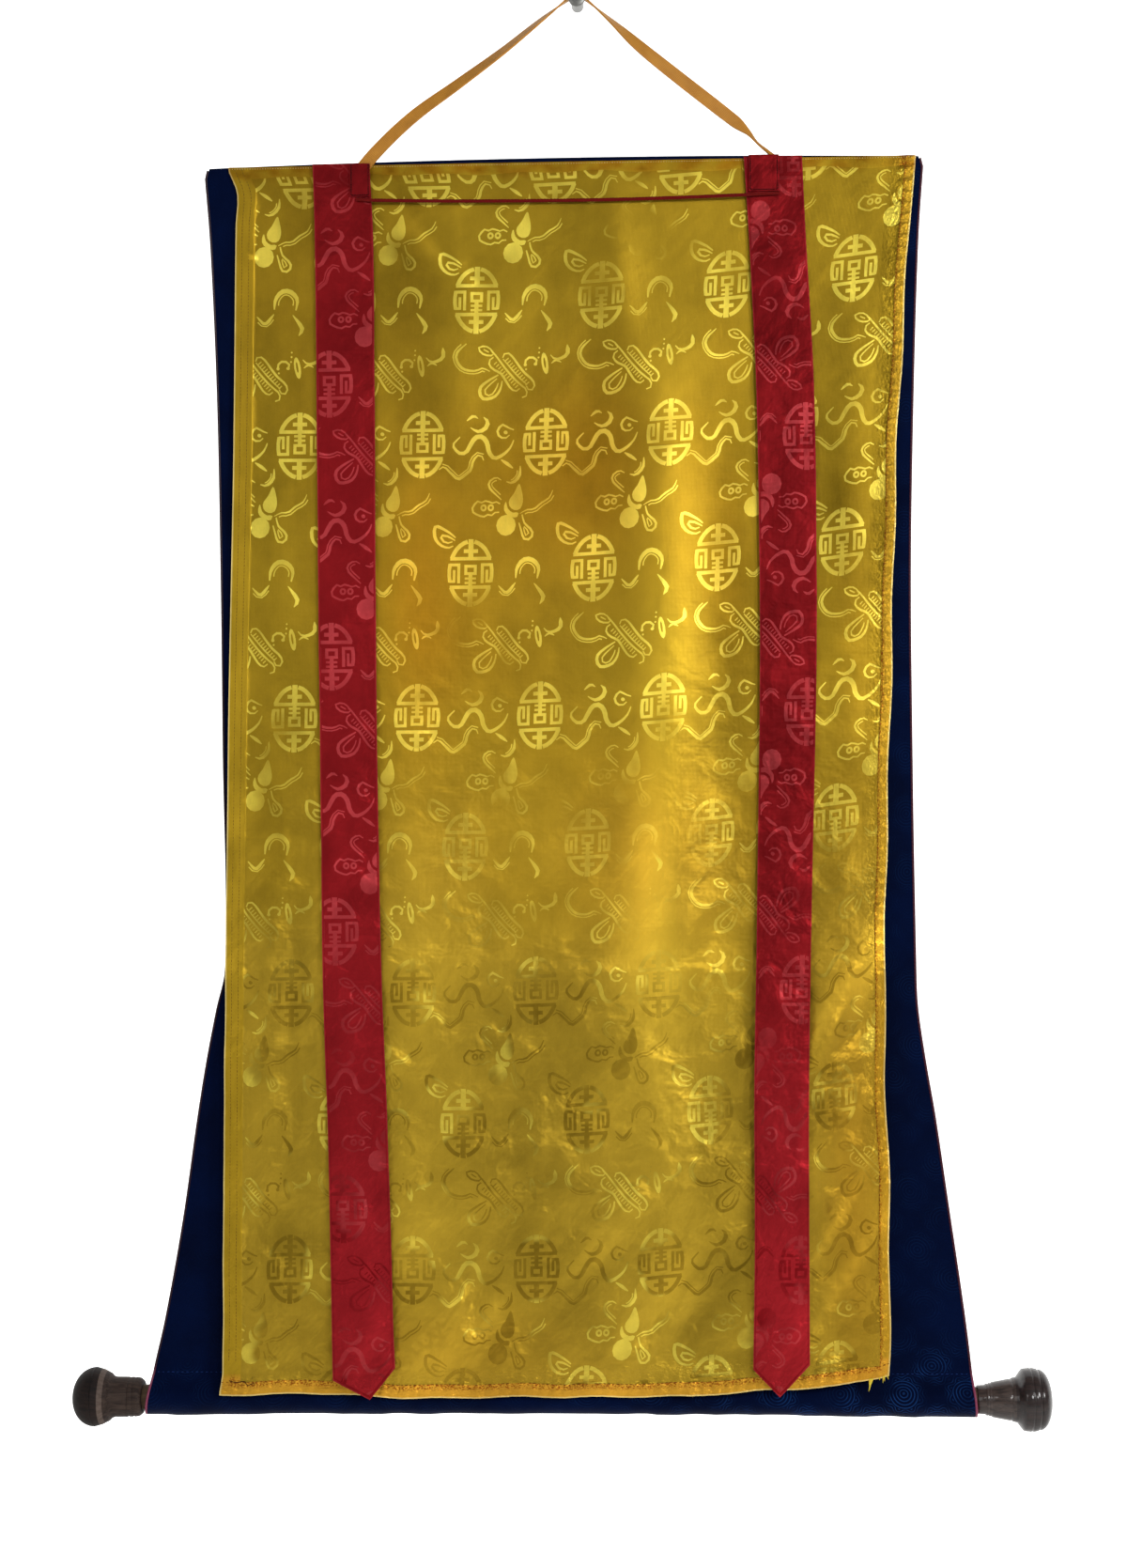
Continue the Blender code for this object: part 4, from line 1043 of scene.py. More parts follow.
def fold_height(folds, x, below):
    """How far a list of folds stands out of the cover's plane."""
    height = np.zeros(np.broadcast(x, below).shape)
    for fold in folds:
        run = (below - fold.head_below) / (fold.foot_below - fold.head_below)
        across = (x - mix(fold.head_x, fold.foot_x, run)) / fold.width
        height += fold.height * np.exp(-across * across) * ease(run / FOLD_HEAD_FADE) \
            * ease((1.0 - run) / FOLD_FOOT_FADE)
    return height


def main_folds(x, below):
    """The folds and level creases that the solid has too."""
    height = fold_height(COVER_FOLDS, x, below)
    for crease in CREASE_HEIGHTS:
        height += CREASE_RISE * np.exp(-((below - crease) / CREASE_WIDTH) ** 2)
    return height


def cover_depth(below):
    """The cover's plane, from the seam at the top to just in front of the sleeve."""
    return mix(COVER_TOP_DEPTH, COVER_FOOT_DEPTH, (below - COVER_TOP) / (COVER_FOOT_BELOW - COVER_TOP))


def cover_end(across):
    """How far below the nail the cover's foot hangs, with the slight waves of its hem."""
    left, right = COVER_SIDES[-1].left, COVER_FOOT[-1].x
    straight = np.interp(mix(left, right, across / COVER_WIDE), [f.x for f in COVER_FOOT],
                         [f.below for f in COVER_FOOT])
    return straight + 0.5 * np.sin(across / 8.5) + 0.35 * np.sin(across / 21.0 + 1.3)


def cover_relief(across, x, below):
    """The fine unevenness of the cover, which grows towards its foot."""
    lower = ease((below - SLACK_FROM) / SLACK_RUN)
    pressed = np.max([np.exp(-((x - middle) / RIBBON_HALF) ** 4) for middle in RIBBON_MIDDLES], axis=0)
    free = 1.0 - PRESSED_BY_RIBBONS * pressed
    height = fold_height(FINE_FOLDS, x, below) + fold_height(DRAG_LINES, x, below) * free
    height += crumple(x, below, seed=3, waves=16, longest=120.0, height=1.0) * mix(0.12, 1.7, lower) * free
    height += crumple(x, below, seed=9, waves=18, longest=46.0, height=1.0) * mix(0.04, 0.5, lower) * free
    for crease in SHARP_CREASES:
        bow = 2.0 * np.sin(x / 70.0 + crease)
        height += SHARP_CREASE_RISE * np.exp(-((below - crease - bow) / SHARP_CREASE_WIDTH) ** 2)
    from_foot = cover_end(across) - below
    near_foot = np.exp(-((from_foot - FOOT_HEM + 1.5) / 6.0) ** 2)
    height += 0.55 * np.sin(across / 1.3 + 2.6 * np.sin(across / 19.0)) * near_foot
    near_right = np.exp(-((COVER_WIDE - RIGHT_HEM + 1.0 - across) / 4.5) ** 2)
    height += 0.5 * np.sin(below / 1.35 + 2.6 * np.sin(below / 23.0)) * near_right
    inside_hem = (LEFT_HEM - across, FOOT_HEM - from_foot, across - COVER_WIDE + RIGHT_HEM)
    hem = np.max(np.broadcast_arrays(*[ease(inside / HEM_STEP + 0.5) for inside in inside_hem]), axis=0)
    return height + HEM_RISE * hem


def place_cover(across, down):
    """Points of the cover's middle surface, from flat places on it."""
    below = COVER_TOP + down
    left, right = read_sides(COVER_SIDES, below)
    share = across / COVER_WIDE
    edge_wave = 0.7 * np.sin(below / 17.0) * ease((share - 0.93) / 0.07)
    x = mix(left, right, share) + edge_wave
    depth = cover_depth(below) + main_folds(x, below) + cover_relief(across, x, below)
    return in_place(x, depth, below)


def weft_bow(across):
    """The rows of figures rise towards the right, where the weft was pulled as the cloth was cut."""
    return BOW_RISE * np.clip((across - BOW_FROM) / BOW_RUN, 0.0, None) ** 1.8


# Oval patches of painted highlight and shade, where the silk's folds catch the light or lie in shade; of
# how strongly its figure shows in the painted sheen; and of warmer colour, painted as the warm reflections
# of the silk. Lean is how far a patch shifts to the left with each step down.
Patch = namedtuple("Patch", "x below wide tall lustre contrast warm lean", defaults=(0.0,) * 4)
COVER_PATCHES = [Patch(*row) for row in (
    (96, 225, 12, 40, 0.05, 0, 0.1), (76, 290, 13, 40, 0, 0, 0.1), (62, 370, 14, 60, 0.1, -0.1, 0.1),
    (57, 470, 17, 70, 0.45, -0.2, 0, 0.08), (42, 585, 19, 62, 0.95, -0.2, 0, 0.12),
    (-10, 470, 80, 130, 0.22), (94, 380, 18, 90, 0, 0, 0.5), (-108, 400, 28, 85, 0.1, -0.15, 0.62),
    (-30, 330, 70, 70, -0.04, 0, 0.45), (12, 300, 36, 60, -0.12, 0, 0.35),
    (10, 560, 110, 70, 0.05, -0.3, 0.35), (14, 194, 22, 22, 0.05, -0.6), (44, 156, 34, 30, 0.08, -0.9),
    (-74, 430, 34, 40, 0, -0.45, 0.2), (20, 690, 90, 34, -0.12), (-100, 690, 60, 40, -0.08),
    (-80, 890, 90, 30, 0.06, 0, 0.2), (-205, 330, 18, 120, -0.03, 0.2, -0.1),
    (-190, 220, 60, 200, -0.12, 0.05, 0.1), (-112, 640, 18, 300, 0.34), (-112, 835, 16, 40, 0.22),
    (-112, 215, 18, 90, -0.22, 0, 0.1), (-30, 455, 34, 45, -0.18, 0, 0.1), (54, 722, 16, 60, 0.3),
    (20, 848, 16, 24, 0.28), (-82, 690, 22, 270, 0.2), (-26, 560, 45, 62, 0.3, -0.1, -0.2),
    (54, 500, 16, 250, 0.48, 0, -0.1), (90, 415, 15, 120, -0.36, 0, -0.2), (88, 645, 18, 60, 0.45),
    (176, 255, 24, 130, -0.32), (176, 350, 24, 50, -0.22), (176, 445, 20, 55, 0.34, -0.1),
    (176, 780, 24, 160, 0.08, 0, 0.4), (20, 735, 22, 42, 0.3), (-14, 185, 16, 26, -0.22),
    (-82, 142, 22, 22, 0.2), (84, 146, 22, 26, 0.26), (-30, 885, 30, 22, 0.2), (-205, 480, 30, 90, 0, -0.3),
    (44, 650, 20, 60, 0.5, -0.1, 0, 0.1), (-100, 160, 8, 26, 0.2, 0, 0, -1),
    (-118, 166, 6, 24, -0.16, -0.3, 0, -0.8), (-60, 800, 180, 120, -0.07),
    (180, 420, 22, 130, 0.05, 0.1, 0.15), (52, 858, 14, 54, 0.36, 0.1, 0, 0.6),
    (22, 812, 11, 34, 0.35, 0.1, 0, 0.9), (-72, 876, 17, 26, 0.26, 0, 0, 1.3),
    (-60, 790, 26, 22, 0.18, 0, 0, 0.6), (172, 650, 9, 46, 0.7, 0.3, 0, 0.6),
    (189, 640, 5, 34, 0.55, 0, 0, 0.4), (163, 808, 3.5, 34, 0.6, 0, 0, 0.56),
    (174, 836, 4.5, 46, 0.45, 0, 0, 0.6), (158, 730, 14, 40, -0.16, 0, 0, 0.5),
    (182, 760, 9, 50, -0.1, 0, 0, 0.4), (-12, 868, 20, 26, -0.2, 0, 0, 0.8),
    (88, 848, 13, 52, -0.28, 0, 0, 0.5), (-40, 745, 60, 22, -0.1), (-190, 820, 30, 20, -0.14, 0, 0, 0.5),
    (-208, 740, 16, 30, 0.1, 0, 0, 0.4), (53, 362, 10, 60, 0.2), (-20, 520, 190, 24, 0, -0.35),
    (58, 835, 36, 36, 0.09), (-60, 724, 24, 44, 0.15), (190, 372, 11, 74, -0.14), (190, 800, 12, 60, 0.14))]
# The ribbons' patches paint highlight and shade, and how strongly the figure shows in the painted sheen.
RIBBON_PATCHES = [Patch(*row) for row in (
    (132, 140, 40, 60, 0, -0.45), (-160, 130, 30, 40, 0, -0.4), (-145, 235, 16, 22, 0, 0.5),
    (-150, 560, 30, 120, 0, 0.25), (140, 600, 30, 60, 0, -0.3), (-158, 170, 40, 140, -0.14),
    (-148, 840, 40, 110, -0.1), (132, 190, 40, 170, -0.33, 0.1), (132, 470, 40, 190, -0.34, 0.1),
    (145, 741, 5, 24, 0.35), (141, 872, 8, 20, 0.2, 0, 0, 0.4), (122, 300, 6, 60, 0.15),
    (122, 790, 13, 30, -0.26, 0, 0, -0.4), (124, 620, 14, 50, -0.16, 0, 0, 0.2),
    (-166, 700, 10, 60, -0.16, 0, 0, 0.1), (-160, 560, 7, 50, 0.14, 0, 0, 0.1),
    (-140, 880, 6, 26, 0.16, 0, 0, 0.4))]


def soft_patches(patches, x, below):
    """The warmth, painted highlight and shade, and figure contrast of a cloth at any places, from its
    patches.
    """
    tone_and_light = np.zeros((len(x), 3))
    for patch in patches:
        down = below - patch.below
        near = np.exp(-((x - patch.x + patch.lean * down) / patch.wide) ** 2 - (down / patch.tall) ** 2)
        tone_and_light += near[:, None] * (patch.warm, patch.lustre, patch.contrast)
    return tone_and_light


across_lines = np.linspace(0.0, COVER_WIDE, COVER_COLUMNS + 1)
drops = np.linspace(0.0, 1.0, COVER_ROWS + 1)
lengths = cover_end(across_lines) - COVER_TOP
cover_lattice = spread(across_lines, drops[:, None] * lengths)
field_across = np.linspace(LEFT_HEM, COVER_WIDE - RIGHT_HEM, 60)
field_foot = np.stack((field_across, cover_end(field_across) - COVER_TOP - FOOT_HEM), axis=1)
top_wave = TOP_HEM + 0.7 * np.sin(field_across / 8.0) + 0.5 * np.sin(field_across / 21.0)
field_top = np.stack((field_across, top_wave), axis=1)
cover_field = np.concatenate((field_top, field_foot[::-1]))
outlines, holes = lay_figures(COVER_WIDE, float(lengths.max()) + 20.0, *FIRST_MEDALLION)
for outline in outlines + holes:
    outline[:, 1] -= weft_bow(outline[:, 0])
# The foot and right hems pucker at every stitch, so the mesh is closer there.
PUCKER_STEP = 2.6
closer = [(across, float(cover_end(np.array(across))) - COVER_TOP - up)
          for across in np.arange(2.0, COVER_WIDE - 1.0, PUCKER_STEP)
          for up in (1.6, 3.8, 6.0, 8.2, 10.4, 12.6)]
closer += [(COVER_WIDE - inward, down) for down in np.arange(3.0, 780.0, PUCKER_STEP)
           for inward in (1.6, 3.8, 6.4, 9.0)]
flat, triangles, figure_mark, field_mark = weave_figures(cover_lattice, cover_field, outlines, holes, closer)
from_foot = cover_end(flat[:, 0]) - COVER_TOP - flat[:, 1]
from_edge = np.minimum(np.minimum(flat[:, 0], COVER_WIDE - flat[:, 0]), from_foot)
places = np.column_stack((flat, from_edge))

# Where the hems of the cover's right side and sloping foot begin, how far from the edge their seams run,
# and how far up and down the change between ground and figure wanders, in metres.
RIGHT_HEM_FROM = (428.0, 436.0)
FOOT_HEM_FROM = (799.0, 803.0)
FOOT_SLOPE = 0.03
HEM_SEAM = 7.6
TURN_OVER_DRIFT = 0.17


def damask(name, sheen, ground, figure, hem, turn_over, crinkled):
    """Silk damask: ground and figure are the same dyed thread, woven to face two ways, so which of them is
    brighter changes with the light. That change is painted into the colours as painted sheen, over the
    height of the cloth. turn_over is the heights, in metres, of that change, and crinkled is how strong the
    fine crinkles are at the top and at the foot. The hem colours are the hems' two colours, their seam
    specks and a painted highlight along the edges."""
    material, add, shader = new_material(name, {
        "IOR": 1.5, "Metallic": 0.6, "Sheen Weight": 0.04, "Sheen Roughness": 0.35,
        "Sheen Tint": linear(sheen), "Specular IOR Level": 0.8, "Anisotropic": 0.3})
    place = add("Attribute", attribute_name="cloth_place").outputs["Vector"]
    tone_and_light = add("Attribute", attribute_name="cloth_tone_and_light")
    tone_and_light = add("SeparateXYZ", [tone_and_light.outputs["Vector"]])
    figure_fac = add("Attribute", attribute_name="figure").outputs["Fac"]
    # How strongly the figure shows, partly painted sheen, from noise and the tone's third value.
    fading = add("TexNoise", {"Vector": place, "Scale": 0.025, "Detail": 2.0})
    fading = add("MapRange", [fading, 0.35, 0.6, 0.45])
    fading = add("Math", [fading, tone_and_light.outputs["Z"]], operation="ADD", use_clamp=True)
    figure_fac = add("Math", [figure_fac, fading], operation="MULTIPLY")
    field_fac = add("Attribute", attribute_name="field").outputs["Fac"]
    # Painted sheen: the ground and figure colours turn over with the height of the cloth.
    where = add("TexCoord").outputs["Object"]
    height = add("SeparateXYZ", [where]).outputs["Z"]
    drift = add("TexNoise", {"Vector": where, "Scale": 7.0, "Detail": 3.0})
    wander = add("Math", [drift, 2.0 * TURN_OVER_DRIFT, height], operation="MULTIPLY_ADD")
    painted_sheen_turn = add("MapRange", [wander, turn_over[0] + TURN_OVER_DRIFT, turn_over[1] + TURN_OVER_DRIFT],
                **SOFT_STEP)
    ground_shade = add("Mix", [painted_sheen_turn, linear(ground[0]), linear(ground[1])], **COLOURS)
    turning = add("TexNoise", {"Vector": place, "Scale": 0.02, "Detail": 2.0})
    turning = add("MapRange", [turning, 0.5, 0.62, 0.0, 0.75], **SOFT_STEP)
    turning = add("Math", [painted_sheen_turn, turning], operation="MAXIMUM")
    figure_shade = add("Mix", [turning, linear(figure[0]), linear(figure[1])], **COLOURS)
    woven = add("Mix", [figure_fac, ground_shade, figure_shade], **COLOURS)
    specks = add("TexNoise", {"Vector": place, "Scale": 0.8, "Detail": 2.0})
    specks = add("MapRange", [specks, 0.46, 0.62], **SOFT_STEP)
    flat_parts = add("SeparateXYZ", [place]).outputs
    edge = flat_parts["Z"]
    right_hem = add("MapRange", [flat_parts["X"], *RIGHT_HEM_FROM])
    towards_foot = add("Math", [flat_parts["X"], FOOT_SLOPE, flat_parts["Y"]], operation="MULTIPLY_ADD")
    foot_hem = add("MapRange", [towards_foot, *FOOT_HEM_FROM])
    turned_in = add("Math", [right_hem, foot_hem], operation="MAXIMUM")
    by_seam = add("Math", [edge, HEM_SEAM], operation="SUBTRACT")
    by_seam = add("Math", [by_seam], operation="ABSOLUTE")
    by_seam = add("MapRange", [by_seam, 3.4, 1.2])
    specks = add("Math", [specks, by_seam], operation="MULTIPLY")
    specks = add("Math", [specks, turned_in], operation="MULTIPLY")
    warmth = add("Math", [right_hem, 0.35, foot_hem], operation="MULTIPLY_ADD")
    warmed = add("Mix", [warmth, linear(hem[0]), linear(hem[1])], **COLOURS)
    specked = add("Mix", [specks, warmed, linear(hem[2])], **COLOURS)
    hemmed = add("Mix", [field_fac, specked, woven], **COLOURS)
    # Painted highlight: the silk is painted paler along its edges, where the folded edge catches the light.
    rim = add("MapRange", [edge, 1.1, 0.3, 0.0, 0.8])
    hemmed = add("Mix", [rim, hemmed, linear(hem[3])], **COLOURS)
    # Painted warm reflection: the tone's first value tints the colour warmer.
    tinted = add("VectorMath", [hemmed, (1.12, 0.8, 0.62)], operation="MULTIPLY")
    hemmed = add("Mix", [tone_and_light.outputs["X"], hemmed, tinted], **COLOURS)
    streak_run = add("VectorMath", [place, (0.9, 0.03, 0.0)], operation="MULTIPLY")
    streaks = add("TexNoise", {"Vector": streak_run, "Scale": 1.0, "Detail": 4.0})
    patches = add("TexNoise", {"Vector": place, "Scale": 0.018, "Detail": 5.0, "Roughness": 0.62})
    tone = add("Math", [streaks, 0.1, patches], operation="MULTIPLY_ADD")
    slubs = add("TexNoise", {"Vector": place, "Scale": 0.75, "Detail": 3.0})
    tone = add("Math", [slubs, 0.16, tone], operation="MULTIPLY_ADD")
    tone = add("MapRange", [tone, 0.35, 0.91, 0.72, 1.28])
    # Painted highlight and shade: the tone's second value brightens or darkens the colour.
    bright = add("Math", [tone, tone_and_light.outputs["Y"]], operation="ADD")
    toned = add("VectorMath", {0: hemmed, "Scale": bright}, operation="SCALE")
    rough = add("MapRange", [figure_fac, 0.0, 1.0, 0.36, 0.3])
    level = add("VectorMath", [place, (1.0, 1.0, 0.0)], operation="MULTIPLY")
    crease_run = add("Mapping", {"Vector": level, "Rotation": (0.0, 0.0, math.radians(128)),
                                 "Scale": (110.0, 30.0, 1.0)}, vector_type="TEXTURE")
    creases = add("TexNoise", {"Vector": crease_run, "Scale": 1.0, "Detail": 4.0, "Roughness": 0.55,
                               "Distortion": 0.3})
    swell = add("TexNoise", {"Vector": level, "Scale": 0.045, "Detail": 3.0, "Distortion": 0.3})
    rise = add("Math", [swell, creases], operation="ADD")
    depth = add("MapRange", [height, -0.35, -0.72, crinkled[0], crinkled[1]])
    rumple = add("Bump", {"Strength": depth, "Height": rise, "Distance": 4.4 * MM})
    gathers = add("TexNoise", {"Vector": place, "Scale": 0.42, "Detail": 2.0})
    gathered = add("Math", [gathers, turned_in], operation="MULTIPLY")
    gathered = add("Bump", {"Height": gathered, "Normal": rumple, "Strength": 1.0, "Distance": 0.8 * MM})
    threads = weave(add, place, spacing=0.8, height=0.1)
    plug(threads, {"Normal": gathered})
    plug(shader, {"Base Color": toned, "Specular Tint": toned, "Roughness": rough, "Normal": threads})
    return material


gold_silk = damask("gold_silk_damask", sheen="#FFE48A", ground=("#9F8225", "#92761C"),
                   figure=("#7F6519", "#DFC94C"), hem=("#A38420", "#C4912C", "#8A4A14", "#EAD48A"),
                   turn_over=(-0.68, -0.47), crinkled=(0.1, 0.72))
cover_points = place_cover(flat[:, 0], flat[:, 1])
tone_and_light = soft_patches(COVER_PATCHES, cover_points[:, 0] / MM, -cover_points[:, 2] / MM)
head_band = crumple(flat[:, 0], flat[:, 1] * 2.0, seed=8, waves=18, longest=26.0, height=1.0)
# The turned-in head of the cover is warmer, and painted darker in blotches as the shade of its gathers.
at_head = ease((TOP_HEM + 3.0 - flat[:, 1]) / 5.0)
tone_and_light[:, 0] += np.clip(0.5 + 0.9 * head_band, 0.1, 0.9) * at_head
tone_and_light[:, 1] -= (0.24 + 0.2 * head_band) * at_head
tone_and_light[:, 0] = np.clip(tone_and_light[:, 0], 0.0, 1.0)
cover = add_cloth("gold_damask_cover", cover_points, facing_of(place_cover, flat), triangles, COVER_THICK,
                  places, gold_silk, tone_and_light, figure=figure_mark, field=field_mark)
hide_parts("cover")
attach(cover, "root")


def on_cover(across, down, proud):
    """Points that stand a little proud of the cover's front, at flat places on it."""
    flat = spread(across, down).astype(float)
    return place_cover(flat[:, 0], flat[:, 1]) + facing_of(place_cover, flat) * (COVER_THICK / 2 + proud) * MM


gold_thread = thread_material("orange_cotton_thread", "#8A4E12")
SEAM_POINTS = 400
width_run = np.linspace(1.0, COVER_WIDE - 1.0, SEAM_POINTS)
foot_seam = on_cover(width_run, cover_end(width_run) - COVER_TOP - FOOT_HEM, 0.03)
side_run = np.linspace(2.0, 790.0, SEAM_POINTS)
side_seam = on_cover(COVER_WIDE - RIGHT_HEM + 0.3, side_run, 0.03)
left_seams = [on_cover(across, side_run, 0.0) for across in (4.4, 9.0)]
top_seam = on_cover(width_run, 1.2, STITCH_PROUD)
cover_stitches = sew("cover_stitches", [foot_seam, side_seam], pitch=3.0, length=1.9,
                     thickness=0.6, thread=gold_thread)
pale_thread = thread_material("pale_gold_thread", "#D9C27C")
top_stitches = sew("cover_top_stitches", [top_seam], pitch=1.7, length=0.9, thickness=0.5, thread=pale_thread)
fine_thread = thread_material("gold_cotton_thread", "#76581A")
left_stitches = sew("cover_left_stitches", left_seams, pitch=2.2, length=1.7, thickness=0.38,
                    thread=fine_thread)
for piece in (cover_stitches, top_stitches, left_stitches):
    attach(piece, "root")

# Loose threads
# The end of the hem's brown thread lies on the lower left corner, and a few pale silk threads have frayed
# out of the lower right corner.
brown_thread = thread_material("brown_cotton_thread", "#5A3410")
silk_thread = thread_material("frayed_silk_thread", "#F2D648")
THREAD_TAIL = ((5.0, 9.6), (8.5, 9.0), (12.0, 8.9), (15.5, 9.4), (17.0, 7.9), (18.2, 6.6), (20.5, 7.4),
               (22.5, 8.0))
tail = smooth_run(THREAD_TAIL, np.linspace(0.0, run_length(THREAD_TAIL)[-1], 40))
tail_path = on_cover(tail[:, 0], cover_end(tail[:, 0]) - COVER_TOP - tail[:, 1], 0.25)
thread_tail = add_tubes("thread_tail", [tail_path], 0.55, 6, brown_thread)
FRAYS = ((432.2, 5.6, 0.9), (432.9, 8.6, 0.3), (433.6, 8.0, -0.1), (434.3, 4.6, -0.7), (440.9, 4.6, 0.7),
         (441.6, 3.6, 0.9), (438.5, 1.8, 0.4), (443.8, 3.0, 1.0))
fray_paths = []
for across, length, lean in FRAYS:
    start = np.array([across, float(cover_end(np.array(across))) - COVER_TOP - 1.0])
    share = np.linspace(0.0, 1.0, 9)
    run = np.stack((start[0] + lean * share ** 1.5, start[1] + length * share), axis=1)
    fray_paths.append(on_cover(run[:, 0], run[:, 1], 0.1))
frays = add_tubes("frayed_threads", fray_paths, 1.0, 6, silk_thread, taper=0.25)
for piece in (thread_tail, frays):
    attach(piece, "root")

# Hanging tape
# A flat woven tape of orange-gold silk goes over the nail. It stands on edge there, turns to face the room
# on its way down, and its ends are sewn down under the heads of the two ribbons, the right one gathered.
TAPE_THICK = 1.2
TAPE_WIDTH = 8.5
NAIL_RADIUS = 4.0
TapePass = namedtuple("TapePass", "x below depth twist")
TAPE_LEFT_LEG = [TapePass(*row) for row in (
    (-151, 124.5, 11.5, 0), (-145.5, 111, 11.1, 0), (-132, 95, 10.9, 4), (-109, 74, 10.6, 14),
    (-80, 53.5, 10.3, 30), (-50, 32, 10, 46), (-22, 10, 9.7, 62))]
TAPE_RIGHT_LEG = [TapePass(*row) for row in (
    (22, 12.5, 9.7, 62), (42, 31, 10, 24), (66, 51, 10.3, 6), (92, 72, 10.6, 4), (112, 88.5, 10.8, 30),
    (119, 96.5, 11, 60), (126, 102.5, 11.1, 30), (132, 108, 11.1, 0), (139, 124.5, 11.5, 0))]
TAPE_GATHER_FROM = 104.0
TAPE_GATHER_RUN = 14.0
TAPE_GATHERED = 0.26
TAPE_NAIL_DEPTH = 9.5
TAPE_NAIL_EASE = 0.45
TAPE_NAIL_TWIST = 88
TAPE_NAIL_ANGLES = (-36, -18, 0, 18, 36)
TAPE_ROWS = 320
TAPE_COLUMNS = 12

tape_ride = NAIL_RADIUS + TAPE_NAIL_EASE + TAPE_THICK / 2
over_nail = [(tape_ride * math.sin(math.radians(angle)), -tape_ride * math.cos(math.radians(angle)),
              TAPE_NAIL_DEPTH, TAPE_NAIL_TWIST) for angle in TAPE_NAIL_ANGLES]
tape_passes = np.array([*TAPE_LEFT_LEG, *over_nail, *TAPE_RIGHT_LEG], float)
tape_reach = run_length(tape_passes[:, :3])
places_along = np.linspace(0.0, tape_reach[-1], TAPE_ROWS + 1)
tape_run = np.stack([smooth_values(tape_reach, column, places_along) for column in tape_passes.T], axis=1)
tape_middle = in_place(tape_run[:, 0], tape_run[:, 2], tape_run[:, 1])
along = np.gradient(tape_middle, axis=0)
along[:, 1] = 0.0
along /= np.linalg.norm(along, axis=1, keepdims=True)
flat_across = np.stack((-along[:, 2], np.zeros(len(along)), along[:, 0]), axis=1)
twist = np.radians(tape_run[:, 3])[:, None]
tape_across = flat_across * np.cos(twist) + np.array((0.0, 1.0, 0.0)) * np.sin(twist)
tape_shares = np.linspace(-0.5, 0.5, TAPE_COLUMNS + 1)
gathered = ease((tape_run[:, 0] - TAPE_GATHER_FROM) / TAPE_GATHER_RUN)
reaches = mix(1.0, TAPE_GATHERED, gathered)[:, None] * tape_shares * TAPE_WIDTH * MM
tape_lattice = tape_middle[:, None, :] + tape_across[:, None, :] * reaches[:, :, None]
tape_places = spread((tape_shares + 0.5) * TAPE_WIDTH, places_along[:, None], 0.0)

# Ribbed silk tape: close ribs run across it, and the weft turns back on itself in a firm beaded edge.
gold_tape, add, shader = new_material("gold_ribbed_tape", {
    "Roughness": 0.55, "IOR": 1.5, "Sheen Weight": 0.06, "Sheen Tint": linear("#FFD080"),
    "Specular IOR Level": 0.3})
place = add("Attribute", attribute_name="cloth_place").outputs["Vector"]
ribs = add("TexWave", {"Vector": place, "Scale": math.tau / 20.0 / 1.1, "Distortion": 0.5, "Detail": 1.0},
           bands_direction="Y")
drift = add("TexNoise", {"Vector": place, "Scale": 0.09, "Detail": 4.0})
rib_part = add("Math", [ribs.outputs["Fac"], 0.45, drift], operation="MULTIPLY_ADD")
shade = add("Mix", [rib_part, linear("#864F0E"), linear("#BF842C")], **COLOURS)
rib_bump = add("Bump", {"Height": ribs.outputs["Fac"], "Strength": 0.7, "Distance": 0.25 * MM})
plug(shader, {"Base Color": shade, "Normal": rib_bump})

tape = add_cloth("hanging_tape_woven", tape_lattice.reshape(-1, 3), -lattice_normals(tape_lattice),
                 lattice_faces(*tape_lattice.shape[:2])[:, ::-1], TAPE_THICK, tape_places.reshape(-1, 3),
                 gold_tape)
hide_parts("hanging_tape")
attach(tape, "root")

# Ribbons
# Two long ribbons of the same damask in red, folded to a point at the foot, hang in front of the cover.
# They are sewn on with it at the top, and tie it up when it is raised.
RIBBON_THICK = 1.0
RIBBON_TOP = 105.5
LAYER_GAP = 0.3
RIBBON_TOP_DEPTH = (COVER_TOP_DEPTH + COVER_THICK / 2 + LAYER_GAP + TAPE_THICK + LAYER_GAP
                    + RIBBON_THICK / 2)
RIBBON_STEP = 8.0
RIBBON_REACH = 4
RIBBON_HEAD_FADE = 60.0
RIBBON_SAMPLES = (-0.25, 0.0, 0.25, 0.5, 0.75, 1.0, 1.25)
RIBBON_WIDE = 38.0
RIBBON_ROWS = 200
RIBBON_HEM = 1.4
LEFT_RIBBON_SIDES = [Sides(*row) for row in (
    (105, -177, -139), (162, -175.5, -136.5), (435, -173.5, -135.5), (541, -172.5, -134.5),
    (648, -171.5, -132.5), (744, -168.5, -129), (870, -166, -125.5), (921, -165, -123.5))]
LEFT_RIBBON_FOOT = (Foot(x=-165, below=908.0), Foot(x=-141, below=920.5), Foot(x=-123.5, below=900.0))
RIGHT_RIBBON_SIDES = [Sides(*row) for row in (
    (104, 109.5, 148), (157, 112.5, 150), (262, 116.5, 154.5), (375, 117.5, 155), (458, 117, 154),
    (621, 113.5, 149), (720, 111, 146.5), (817, 110.5, 145.8), (918, 108.5, 145.5))]
RIGHT_RIBBON_FOOT = (Foot(x=108.5, below=900.0), Foot(x=126, below=918.0), Foot(x=145.5, below=897.0))


def ribbon_plane(below):
    """The plane in which the ribbons hang, in front of the cover's."""
    return RIBBON_TOP_DEPTH + cover_depth(below) - COVER_TOP_DEPTH


